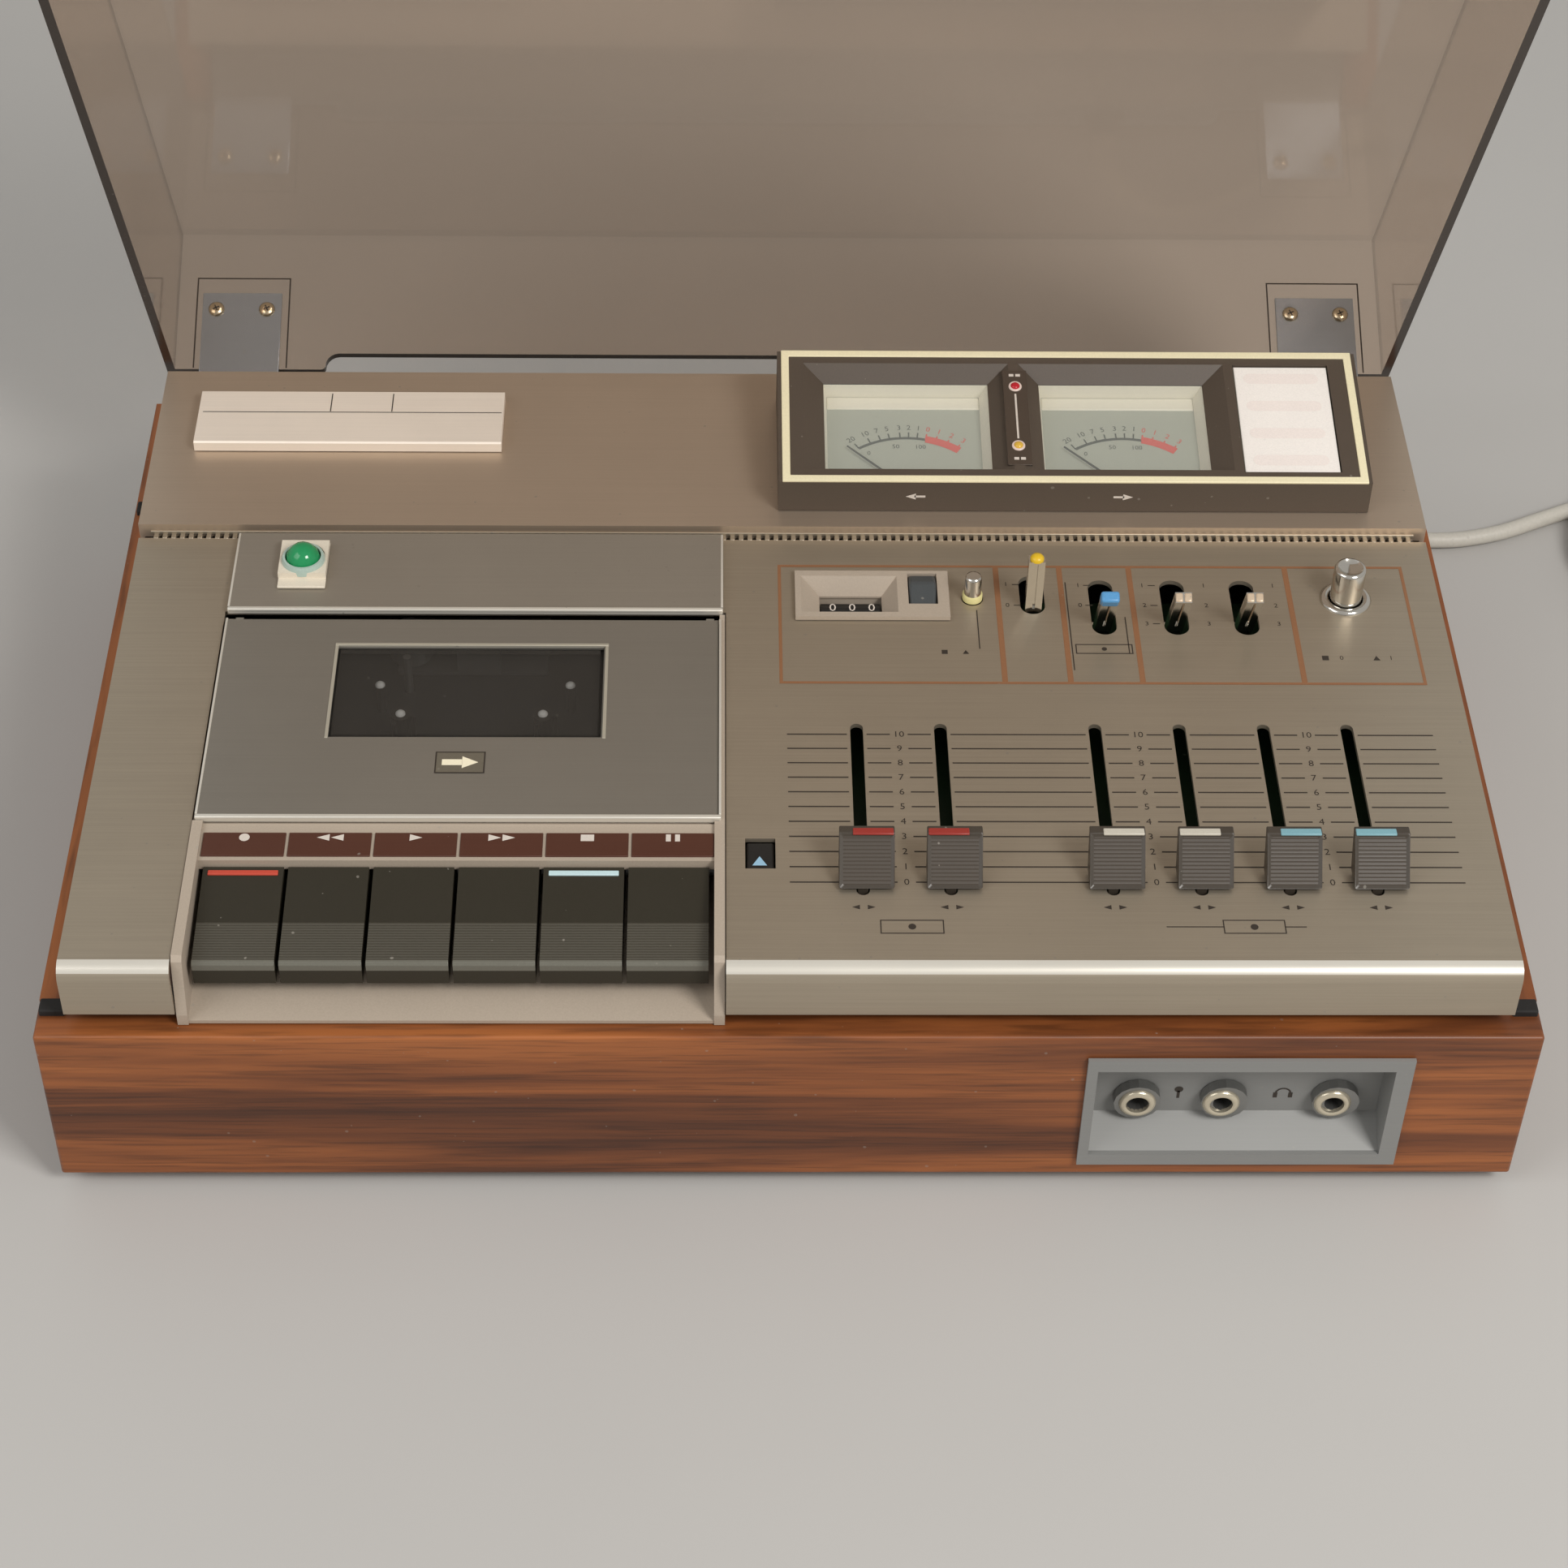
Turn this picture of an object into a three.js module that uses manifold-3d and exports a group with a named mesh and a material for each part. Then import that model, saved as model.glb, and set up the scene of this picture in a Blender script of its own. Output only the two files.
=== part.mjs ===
// Top-loading cassette deck in a walnut cabinet, with its smoked dust cover standing open.
// Millimetres. X runs to the right, Y from the front to the back, Z up. The floor is Z = 0.
// The sizes below are measured from the cabinet's centre line, its front face and the floor.

import * as THREE from 'three';
import { mergeVertices } from 'three/addons/utils/BufferGeometryUtils.js';
import Module from 'manifold-3d';

// Fits and counts
const gap = 0.3; // between pieces that touch
const overrun = 4; // how far a cutting shape passes the face that it cuts
const weldDistance = 0.0001;
const fineSides = 24;
const plainSides = 16;
const smallSides = 10;

// Walnut cabinet. Its width and depth follow from the module, the controls and the rear panel
const boardHeight = 59.8;
const frontBoard = 14;
const sideBoard = 12;
const footHeight = 6;
const footRadius = 11;
const footInset = 30;
const footSetback = 34;
const rimRear = 16.5; // wood rim behind the rear panel

// Steel chassis tray
const traySheet = 1.5;
const ledgeDrop = 1.8; // rear ledge below the wood rim
const ledgeDepth = 26;
const trayFrontDrop = 5.8; // front wall below the rim, under the key bay

// Front top panel
const panelSheet = 1.5;
const panelInset = 8.8; // in from the cabinet's sides
const panelFront = 4;
const panelRound = 4.5;
const panelLip = 5.2; // lower edge above the wood rim
const panelMargin = 14; // at least this much behind the controls
const roundSteps = 5;

// Rear top panel
const rearPanelStep = 3.6; // above the front panel
const rearPanelSeam = 2.3; // slit between the two panels
const rearPanelDepth = 77.5;
const rearPanelNose = 5; // depth of its front riser

// Transport module
const moduleInset = 39.7; // in from the cabinet's left side
const moduleWidth = 151.6;
const moduleLipFront = 4.5;
const moduleLipHeight = 3.9;
const moduleBehindDoor = 3;
const moduleWall = 3;
const moduleWallFront = 8;
const moduleWallChamfer = 1.4;
const moduleRise = 0.8; // walls above the front panel
const moduleHeel = 16; // where the walls drop behind the front board
const panLip = 1.2;
const panRise = 2.2;
const panRun = 15.5;
const panSheet = 1.4;
const notchBehindModule = 1.9;
const ridgeWidth = 1.6;

// Key bay and keys
const keyCount = 6;
const keyGap = 1.2;
const keyEndGap = 1.49;
const keyFront = 12;
const keyDepth = 34;
const keyEdge = 0.8;
const keyRoom = 5.2; // between the keys and the pan below them
const keyFrontHeight = 7.2;
const keySlope = 4;
const keySink = 2.4; // the keys' rear edge below the front panel
const keyArmDrop = 2;
const keyArmHeight = 6.5;
const keyArmSetback = 2;
const keyShaftSetback = 9;
const keyShaftLift = 1;
const keyShaftRadius = 2;
const keyArmBehindShaft = 4;
const bridgeSetback = 0.5;
const bridgeSheet = 1.4;
const bridgeLip = 3.5;
const wellBehindKeys = 2.5;

// Cassette door, its window, carrier and hinge
const doorLeftMargin = 0.6;
const doorRightMargin = 1.9;
const doorSetback = 0.1;
const doorDepth = 85;
const doorDrop = 0.4; // underside below the front panel
const doorThickness = 2.2;
const doorEdge = 0.7;
const windowShift = 0.7; // the window's centre left of the cassette's
const windowWidth = 80;
const windowDepth = 38.9;
const windowRearMargin = 12.4;
const paneFlange = 2;
const paneThickness = 1.2;
const paneRecess = 0.8;
const doorHingeInset = 0.8;
const doorHingeDrop = 2.7;
const doorPinRadius = 1.1;
const doorPinLength = 1.9;
const doorLugWidth = 2.4;
const doorLugSize = 2.5;
const doorSwingDrop = 0.75; // the frame is lower here, where the open door's rear edge turns
const doorSwingAhead = 0.9; // from the hinge pins back to that step
const cassetteShift = 0.2; // the cassette's centre right of the module's
const cassetteWidth = 100.4;
const cassetteSlack = 1;
const carrierSheet = 1;
const carrierDepth = 60;
const carrierRearMargin = 6.6;
const carrierDrop = 18;
const carrierLip = 4;
const carrierFlange = 4;
const carrierFrontBar = 11;
const carrierRearBar = 3.2;

// Hood and jewel lamp behind the door
const hoodDepth = 35.5;
const hoodThickness = 2.1;
const hoodChamfer = 0.8;
const hoodInset = 0.6;
const jewelInset = 22.2; // from the module's left side
const jewelSetback = 19.3; // behind the hood's front edge
const jewelRadius = 5.7;
const jewelRecess = 6.5;
const jewelFloor = 0.8;
const jewelDome = 4.8;
const jewelStem = 5;
const jewelStemRadius = 4.2;
const jewelHolderWidth = 14.8;
const jewelHolderDepth = 21.3;
const jewelHolderHeight = 2.8;

// Transport plate, spindles, head slide and capstan
const plateDrop = 22.6; // below the front panel
const plateThickness = 2;
const plateSetback = 1.8;
const plateBehindDoor = 37.4;
const spindleMargin = 30.7; // from the door's rear edge
const spindleSpacing = 42.5;
const spindleHeight = 13.5;
const spindleRadius = 3;
const spindleFin = 1.1;
const spindleFinCount = 3;
const spindleDiscRadius = 12;
const spindleDiscHeight = 1.4;
const spindleShaftRadius = 2;
const spindleShaftDrop = 6;
const pinSpacing = 57.6;
const pinMargin = 14.4;
const pinRadius = 1.6;
const pinHeight = 10;
const capstanOffset = 21;
const capstanMargin = 6;
const capstanRadius = 1.25;
const capstanHeight = 14;
const flywheelRadius = 30;
const flywheelDrop = 20;
const flywheelHeight = 8;
const flywheelGroove = 1.5;
const motorInset = 33.3; // from the module's right side
const motorBehindDoor = 11.4;
const motorRadius = 17;
const motorHeight = 36;
const motorBossRadius = 6;
const motorBossHeight = 3;
const slideSheet = 1.5;
const slideWidth = 46;
const slideDepth = 24.8;
const slideBehindDoor = 0.6;
const headWidth = 13;
const headProud = 0.7;
const headDepth = 7;
const headHeight = 14;
const rollerSetback = 6;
const rollerRadius = 6.5;
const rollerLift = 4;
const rollerHeight = 9;
const rollerArmRadius = 2.4;

// Badge plate
const badgeInset = 22.2; // from the cabinet's left side
const badgeWidth = 97.8;
const badgeSetback = 36; // behind the rear panel's front edge
const badgeDepth = 26;
const badgeThickness = 3.6;
const badgeChamfer = 0.5;

// Meter housing. The controls' own origin lies this far right of the module
const controlsGap = 18.7;
const housingShift = -0.6;
const housingWidth = 183;
const housingSetback = 7.5; // behind the rear panel's front edge
const housingFrontHeight = 12.1; // above the rear panel
const housingTilt = 9.3; // degrees
const housingSlope = 55.2; // front to back along the tilted top
const housingSkirt = 2; // the foot lies this much further out at the back
const housingTop = 4; // thickness of the tilted top
const housingWall = 1.8;
const housingLip = 1.4; // the sides stand this much outside the tilted top's trim
const meterGlassLeft = 13.4;
const meterGlassWidth = 52.6;
const meterSpacing = 69;
const meterGlassFront = 5.2;
const meterGlassSlope = 39.6;
const meterBevelSide = 6.6;
const meterBevelRear = 5.4;
const meterDial = 9.5; // below the tilted top
const meterPanelSheet = 1.5;
const meterPanelInset = 3;
const meterCanInset = 1;
const meterCanDepth = 20;
const lampPostX = 74.4;
const lampPostWidth = 7;
const lampPostFront = 8;
const lampPostSlope = 38;
const cardRightMargin = 8;
const cardWidth = 30;
const cardFront = 4.8;
const cardSlope = 45;
const cardRecess = 0.8;
const needlePivot = 4.2;
const needleLength = 26;
const needleTail = 3;
const needleWidth = 0.7;
const needleThickness = 0.5;
const needleHub = 2.6;
const needleLean = 47; // degrees from the middle, at rest
const needleStub = 0.9;
const rearCutInset = 5; // rear panel opening under the housing
const rearCutSetback = 6.5;
const rearCutDepth = 44;

// Tape counter
const counterShift = 2.8;
const counterFront = 148;
const counterRise = 1.4;
const counterFlange = 1.2;
const counterDrop = 14.6;
const digitInset = 7.6;
const digitWidth = 19.2;
const digitSetback = 2.2;
const digitDepth = 13;
const digitSink = 3.6; // window below the front panel's surface
const digitFloor = 0.7;
const bevelRear = 3.6;
const bevelLeft = 5.8;
const bevelRight = 4.6;
const drumRadius = 4.4;
const drumSetback = 11.2;
const drumShaftRadius = 0.8;
const drumShaftLength = 24;
const drumSideGap = 0.4;
const resetGap = 8.2; // between the digit window and the reset button
const resetWidth = 8.4;
const resetMargin = 3.8;
const resetSetback = 6.3;
const resetDepth = 13.4;
const resetRearMargin = 1.6;
const resetRise = 3;

// Buttons
const buttonRoom = 4; // between a button's foot and the control board
const memoryShift = 57.2;
const memoryY = 158.4;
const memoryRadius = 2.6;
const memoryHole = 3.4;
const memoryRise = 9.4;
const powerShift = 172.2;
const powerY = 158.6;
const powerRadius = 4.9;
const powerHole = 5.6;
const powerRise = 13;
const openShift = -13;
const openWidth = 8.6;
const openFront = 43.3;
const openDepth = 11.8;
const openSink = 1.2;

// Lever switches
const leverShifts = [75.6, 96.9, 119, 140.5];
const leverSlotWidth = 7.6;
const leverSlotHalf = 12.5;
const leverSlotStop = 6.6; // a leaned lever's middle from the end of its slot
const leverShortSlotAhead = 3.2;
const leverShortSlotBehind = 14.4;
const leverPivotY = 154.5;
const leverDrop = 12.1; // pivot below the front panel
const leverHub = 5;
const leverTip = 31.5; // pivot to tip
const leverWidth = 5;
const leverThickness = 3.4;
const leverGroove = 0.8;

// Level sliders
const sliderShifts = [20, 44.7, 90.3, 115.2, 140.1, 164.8];
const sliderRightMargin = 45.2; // from the last slider to the cabinet's right side
const sliderSlotWidth = 3.8;
const sliderSlotAhead = 5;
const sliderSlotLength = 69.5;
const sliderY = 38;
const sliderStemWidth = 3;
const sliderStemDepth = 6;
const sliderRoom = 0.6; // between a slider's stem and the control board
const knobWidth = 15.6;
const knobShift = 1;
const knobLift = 1.2;
const knobHeight = 12.8;
const knobFront = -3.8;
const knobTopFront = 6.9;
const knobTopRear = 9.8;
const knobRear = 4.5;

// Control board
const controlBoardSheet = 1.6;
const controlBoardShift = -16;
const controlBoardMargin = 6.2; // from the tray's right wall
const controlBoardFront = 26;
const controlBoardDepth = 150;
const standoffRadius = 3;
const standoffInset = 8;

// Jack plate and jacks
const jackShifts = [99.8, 124.9, 157];
const jackZ = 29.8;
const jackPlateSide = 16.8; // from the outer jacks to the plate's ends
const jackPlateEnd = 18;
const jackPlateLow = 17.9;
const jackPlateHigh = 27.8;
const jackPlateProud = 1.2;
const jackWellSide = 13.8;
const jackWellEnd = 13;
const jackWellLow = 13.3;
const jackWellHigh = 23.2;
const jackWellDepth = 10;
const jackTrayRise = 6;
const jackWall = 1.4;
const jackHole = 5;
const jackThread = 4.6;
const jackNut = 6.8;
const jackNutDepth = 3;
const jackBodyRadius = 7;
const jackBodyLength = 27;
const jackBore = 3.35;
const jackBoardSheet = 1.6;
const jackBoardMargin = 9;
const jackBoardHeight = 22;

// Dust cover and its hinges
const coverWall = 2.8;
const coverSideGap = 1.5; // inside, to the metal panels
const coverFrontGap = 1; // closed, from its front wall to the metal panel
const coverRearSetback = 12.1; // rear face ahead of the hinge pins
const coverLift = 2.3; // closed lower edge above the wood rim
const coverHeight = 53.4;
const coverRearNotch = 6;
const coverNotchMargin = 15.45; // between the notch and the hinge leaves
const coverOpenAngle = 64; // degrees
const hingeBehind = 4.4; // pins behind the cabinet
const hingeDrop = 2.8; // pins below the rim
const hingeLeafInset = 28.8; // the leaf's centre in from the cabinet's side
const hingeLeafWidth = 26.5;
const hingeLeafHeight = 30.2;
const hingeLeafSheet = 1.3;
const hingeFootDrop = 0.2;
const hingeFootSheet = 1.5;
const knuckleRadius = 3.2;
const knuckleLength = 17.5;
const knuckleGap = 0.5;
const earLength = 3.4;
const earArm = 4.4;
const hingePinRadius = 1.2;

// Mains cord: it comes out of the rear wall, bends down to the floor and leaves to the right
const cordRadius = 2.8;
const cordSides = 8;
const cordSteps = 56;
const glandShift = 118;
const glandZ = 30;
const glandFlange = 8;
const glandFlangeDepth = 2.4;
const glandBarrel = 5.4;
const glandBarrelDepth = 8;
const glandNeck = 4.4;
const cordClear = 0.3; // above the floor
const coilReach = 120; // the coil's centre right of the cabinet's side
const coilAhead = 7; // and ahead of the tray's rear wall
const coilInner = 21;
const coilPitch = 6.2;
const coilTurnsIn = 4;
const coilTurnsOut = 4.25;
const coilLayerRise = 6.3;
const coilStartAngle = 108; // degrees
const coilStepsPerTurn = 24;
const coilSides = 6;
const coilTailStep = 6;
const coilTailEnd = 9;
const plugReliefLength = 12;
const plugReliefRadius = 4;
const plugBodyLength = 34;
const plugBodyWidth = 26;
const plugBodyHeight = 13;
const plugPinSpacing = 19;
const plugPinRadius = 2;
const plugPinLength = 19;

// Heights worked out from the sizes
const rimZ = footHeight + boardHeight;
const panTop = rimZ + 2 * gap + panLip + panRise;
const keyBase = panTop + keyRoom;
const keyFrontTop = keyBase + keyFrontHeight;
const keyRearTop = keyFrontTop + keySlope;
const keyArmBase = keyBase - keyArmDrop;
const keyArmTop = keyArmBase + keyArmHeight;
const keyShaftZ = keyBase + keyShaftLift;
const panelZ = keyRearTop + keySink;
const rearPanelZ = panelZ + rearPanelStep;
const ledgeZ = rimZ - ledgeDrop;
const moduleTop = panelZ + moduleRise;
const moduleBase = rimZ - trayFrontDrop;
const doorBase = panelZ - doorDrop;
const doorHingeZ = panelZ - doorHingeDrop;
const carrierBase = panelZ - carrierDrop;
const plateTop = panelZ - plateDrop;
const spindleTop = plateTop + spindleHeight;
const spindleShaftBase = plateTop - spindleShaftDrop;
const pinTop = plateTop + pinHeight;
const capstanTop = plateTop + capstanHeight;
const flywheelBase = plateTop - flywheelDrop;
const headTop = plateTop + headHeight;
const rollerBase = plateTop + rollerLift;
const rollerTop = rollerBase + rollerHeight;
const counterBase = panelZ - counterDrop;
const leverPivotZ = panelZ - leverDrop;
const controlBoardTop = leverPivotZ - leverHub - gap;
const buttonFoot = controlBoardTop + buttonRoom;
const sliderFoot = controlBoardTop + sliderRoom;
const jackPlateBase = jackZ - jackPlateLow;
const jackPlateTop = jackZ + jackPlateHigh;
const jackWellBase = jackZ - jackWellLow;
const jackWellTop = jackZ + jackWellHigh;
const hingeZ = rimZ - hingeDrop;
const hingeFootBase = rimZ - hingeFootDrop;
const coverFrontFace = panelFront - coverFrontGap - coverWall;
const coverBase = rimZ + coverLift;
const coverTop = coverBase + coverHeight;

// Places along Y
const keyRear = keyFront + keyDepth;
const keyArmStart = keyRear + keyArmSetback;
const keyShaftY = keyRear + keyShaftSetback;
const keyArmEnd = keyShaftY + keyArmBehindShaft;
const bridgeFront = keyRear + bridgeSetback;
const wellFront = keyArmEnd + wellBehindKeys;
const doorFront = wellFront + doorSetback;
const doorRear = doorFront + doorDepth;
const windowFront = doorRear - windowRearMargin - windowDepth;
const doorHingeY = doorRear - doorHingeInset;
const carrierRear = doorRear - carrierRearMargin;
const carrierFront = carrierRear - carrierDepth;
const moduleRear = doorRear + moduleBehindDoor;
const notchRear = moduleRear + notchBehindModule;
const hoodFront = moduleRear + gap;
const hoodRear = hoodFront + hoodDepth;
const jewelY = hoodFront + jewelSetback;
const plateFront = doorFront + plateSetback;
const plateRear = doorRear + plateBehindDoor;
const spindleY = doorRear - spindleMargin;
const pinY = doorRear - pinMargin;
const capstanY = doorRear - capstanMargin;
const motorY = doorRear + motorBehindDoor;
const slideFront = doorRear + slideBehindDoor;
const slideRear = slideFront + slideDepth;
const headFront = slideFront - headProud;
const rollerY = slideFront + rollerSetback;
const counterDepth = resetSetback + resetDepth + resetRearMargin;
const digitFront = counterFront + digitSetback;
const drumY = counterFront + drumSetback;
const resetFront = counterFront + resetSetback;
const sliderSlotFront = sliderY - sliderSlotAhead;
const sliderSlotRear = sliderSlotFront + sliderSlotLength;
const controlsRear = Math.max(
  counterFront + counterDepth,
  leverPivotY + leverShortSlotBehind,
  leverPivotY + leverSlotHalf,
  memoryY + memoryHole,
  powerY + powerHole,
);
const panelRear = Math.max(hoodRear, controlsRear + panelMargin) + gap;
const rearPanelFront = panelRear + rearPanelSeam;
const rearPanelRear = rearPanelFront + rearPanelDepth;
const badgeFront = rearPanelFront + badgeSetback;
const housingFront = rearPanelFront + housingSetback;
const rearCutFront = housingFront + rearCutSetback;
const cabinetDepth = rearPanelRear + rimRear;
const trayFront = frontBoard + gap;
const trayRear = cabinetDepth - gap;
const hingeY = cabinetDepth + hingeBehind;
const coverRearFace = hingeY - coverRearSetback;

// Places along X, from the cabinet's centre line
const lastSlider = sliderShifts[sliderShifts.length - 1];
const cabinetWidth = moduleInset + moduleWidth + controlsGap + lastSlider + sliderRightMargin;
const panelHalf = cabinetWidth / 2 - panelInset;
const trayHalf = cabinetWidth / 2 - sideBoard - gap;
const moduleLeft = moduleInset - cabinetWidth / 2;
const moduleRight = moduleLeft + moduleWidth;
const bayLeft = moduleLeft + moduleWall;
const bayRight = moduleRight - moduleWall;
const keyRowWidth = bayRight - bayLeft - 2 * keyEndGap;
const keyWidth = (keyRowWidth - (keyCount - 1) * keyGap) / keyCount;
const doorLeft = moduleLeft + doorLeftMargin;
const doorRight = moduleRight - doorRightMargin;
const cassetteCentreX = (moduleLeft + moduleRight) / 2 + cassetteShift;
const windowLeft = cassetteCentreX - windowShift - windowWidth / 2;
const spindleXs = [cassetteCentreX - spindleSpacing / 2, cassetteCentreX + spindleSpacing / 2];
const capstanX = cassetteCentreX - capstanOffset;
const motorX = moduleRight - motorInset;
const jewelX = moduleLeft + jewelInset;
const badgeLeft = badgeInset - cabinetWidth / 2;
const controlsX = moduleRight + controlsGap;
const housingLeft = controlsX + housingShift;
const cardLeft = housingWidth - cardRightMargin - cardWidth;
const counterLeft = controlsX + counterShift;
const digitLeft = counterLeft + digitInset;
const resetLeft = digitLeft + digitWidth + resetGap;
const counterWidth = digitInset + digitWidth + resetGap + resetWidth + resetMargin;
const memoryX = controlsX + memoryShift;
const powerX = controlsX + powerShift;
const openLeft = controlsX + openShift;
const leverXs = leverShifts.map((x) => controlsX + x);
const sliderXs = sliderShifts.map((x) => controlsX + x);
const controlBoardLeft = controlsX + controlBoardShift;
const controlBoardRight = trayHalf - traySheet - controlBoardMargin;
const jackXs = jackShifts.map((x) => controlsX + x);
const jackPlateLeft = jackXs[0] - jackPlateSide;
const jackPlateRight = jackXs[jackXs.length - 1] + jackPlateEnd;
const jackWellLeft = jackXs[0] - jackWellSide;
const jackWellRight = jackXs[jackXs.length - 1] + jackWellEnd;
const coverHalf = panelHalf + coverSideGap + coverWall;
const hingeLeafX = cabinetWidth / 2 - hingeLeafInset;
const coverNotchHalf = hingeLeafX - hingeLeafWidth / 2 - coverNotchMargin;
const leverLean = Math.atan((leverSlotHalf - leverSlotStop) / leverDrop);
const glandX = controlsX + glandShift;
const coilX = cabinetWidth / 2 + coilReach;
const coilY = trayRear - coilAhead;

const wasm = await Module();
wasm.setup();

// Solids from three.js geometries, and back
const solid = (geometry) => {
  const bare = geometry.index ? geometry.toNonIndexed() : geometry.clone();
  bare.deleteAttribute('normal');
  bare.deleteAttribute('uv');
  const welded = mergeVertices(bare, weldDistance);
  const vertProperties = new Float32Array(welded.attributes.position.array);
  const triVerts = new Uint32Array(welded.index.array);
  return new wasm.Manifold(new wasm.Mesh({ numProp: 3, vertProperties, triVerts }));
};

const surface = (shape) => {
  const mesh = shape.getMesh();
  const geometry = new THREE.BufferGeometry();
  const positions = new Float32Array(mesh.vertProperties);
  geometry.setAttribute('position', new THREE.BufferAttribute(positions, mesh.numProp));
  geometry.setIndex(new THREE.BufferAttribute(new Uint32Array(mesh.triVerts), 1));
  geometry.computeVertexNormals();
  return geometry;
};

const join = (...pieces) => surface(pieces.map(solid).reduce((all, piece) => all.add(piece)));

const cut = (base, ...tools) =>
  surface(tools.map(solid).reduce((rest, tool) => rest.subtract(tool), solid(base)));

const overlap = (first, second) => surface(solid(first).intersect(solid(second)));

// A box between two values on each axis
const block = (x0, x1, y0, y1, z0, z1) => {
  const geometry = new THREE.BoxGeometry(x1 - x0, y1 - y0, z1 - z0);
  return geometry.translate((x0 + x1) / 2, (y0 + y1) / 2, (z0 + z1) / 2);
};

// Cylinders along each axis
const rodZ = (radius, x, y, z0, z1, sides = plainSides) => {
  const geometry = new THREE.CylinderGeometry(radius, radius, z1 - z0, sides);
  return geometry.rotateX(Math.PI / 2).translate(x, y, (z0 + z1) / 2);
};

const rodX = (radius, x0, x1, y, z, sides = plainSides) => {
  const geometry = new THREE.CylinderGeometry(radius, radius, x1 - x0, sides);
  return geometry.rotateZ(Math.PI / 2).translate((x0 + x1) / 2, y, z);
};

const rodY = (radius, x, y0, y1, z, sides = plainSides) => {
  const geometry = new THREE.CylinderGeometry(radius, radius, y1 - y0, sides);
  return geometry.translate(x, (y0 + y1) / 2, z);
};

const outline = (points) => new THREE.Shape(points.map(([u, v]) => new THREE.Vector2(u, v)));

// A side profile of (y, z) points, drawn out along X
const alongX = (points, x0, x1) => {
  const options = { depth: x1 - x0, bevelEnabled: false };
  const geometry = new THREE.ExtrudeGeometry(outline(points), options);
  const toX = new THREE.Matrix4().makeBasis(
    new THREE.Vector3(0, 1, 0),
    new THREE.Vector3(0, 0, 1),
    new THREE.Vector3(1, 0, 0),
  );
  return geometry.applyMatrix4(toX).translate(x0, 0, 0);
};

// A front profile of (x, z) points, drawn out along Y
const alongY = (points, y0, y1) => {
  const options = { depth: y1 - y0, bevelEnabled: false };
  const geometry = new THREE.ExtrudeGeometry(outline(points), options);
  return geometry.rotateX(Math.PI / 2).translate(0, y1, 0);
};

// A plan outline, drawn out along Z
const alongZ = (shape, z0, z1) => {
  const options = { depth: z1 - z0, bevelEnabled: false, curveSegments: smallSides };
  return new THREE.ExtrudeGeometry(shape, options).translate(0, 0, z0);
};

// A slot with round ends, long in Y
const slotShape = (x, y0, y1, width) => {
  const shape = new THREE.Shape();
  const radius = width / 2;
  shape.absarc(x, y0 + radius, radius, Math.PI, 2 * Math.PI);
  shape.absarc(x, y1 - radius, radius, 0, Math.PI);
  return shape;
};

const degrees = THREE.MathUtils.degToRad;

// Materials
const finish = (colour, roughness, metalness) =>
  new THREE.MeshStandardMaterial({ color: colour, roughness, metalness });

const walnut = finish(0x7d4d30, 0.45, 0);
const rubber = finish(0x1c1b1a, 0.85, 0);
const champagne = finish(0x9a8f7c, 0.4, 0.85);
const rearChampagne = finish(0x8c7e6b, 0.42, 0.85);
const doorGrey = finish(0x7b766c, 0.4, 0.8);
const beige = finish(0xa69a84, 0.5, 0.3);
const zincSteel = finish(0x8f9294, 0.45, 0.9);
const keyPlastic = finish(0x35332c, 0.35, 0);
const blackPlastic = finish(0x1b1a19, 0.45, 0);
const housingPlastic = finish(0x39342f, 0.5, 0);
const dialCard = finish(0xa8ad9c, 0.6, 0);
const chrome = finish(0xd4d2cc, 0.15, 1);
const jackSilver = finish(0x9c9d9e, 0.5, 0.6);
const badgeMetal = finish(0xc4b595, 0.4, 0.7);
const jewelGreen = finish(0x2f8f63, 0.15, 0);
const knobPlastic = finish(0x5a564f, 0.5, 0);
const smokedAcrylic = new THREE.MeshStandardMaterial({
  color: 0x7d6f62,
  roughness: 0.1,
  metalness: 0,
  transparent: true,
  opacity: 0.45,
});
const clearPane = new THREE.MeshStandardMaterial({
  color: 0x9aa0a0,
  roughness: 0.05,
  metalness: 0,
  transparent: true,
  opacity: 0.35,
});
const cordPlastic = finish(0xc9c5bd, 0.55, 0);
const needlePaint = finish(0x20201f, 0.5, 0);
const boardGreen = finish(0x5d5a33, 0.7, 0);

const piece = (name, geometry, material) => {
  const mesh = new THREE.Mesh(geometry, material);
  mesh.name = name;
  return mesh;
};

// A moving piece is drawn about its own pivot and placed there
const pivoted = (name, geometry, material, x, y, z) => {
  const mesh = piece(name, geometry, material);
  mesh.position.set(x, y, z);
  return mesh;
};

// Cabinet boards
function frontBoardPiece() {
  const board = block(-cabinetWidth / 2, cabinetWidth / 2, 0, frontBoard, footHeight, rimZ);
  const hole = block(
    jackWellLeft - jackWall - gap,
    jackWellRight + jackWall + gap,
    -overrun,
    frontBoard + overrun,
    jackWellBase - jackWall - gap,
    jackWellTop + jackWall + gap,
  );
  return piece('wood_front', cut(board, hole), walnut);
}

function sideBoardPiece(name, side) {
  const outer = (side * cabinetWidth) / 2;
  const inner = outer - side * sideBoard;
  const low = Math.min(outer, inner);
  const high = Math.max(outer, inner);
  return piece(name, block(low, high, frontBoard, cabinetDepth, footHeight, rimZ), walnut);
}

function footPiece(name, x, y) {
  return piece(name, rodZ(footRadius, x, y, 0, footHeight, fineSides), rubber);
}

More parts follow.
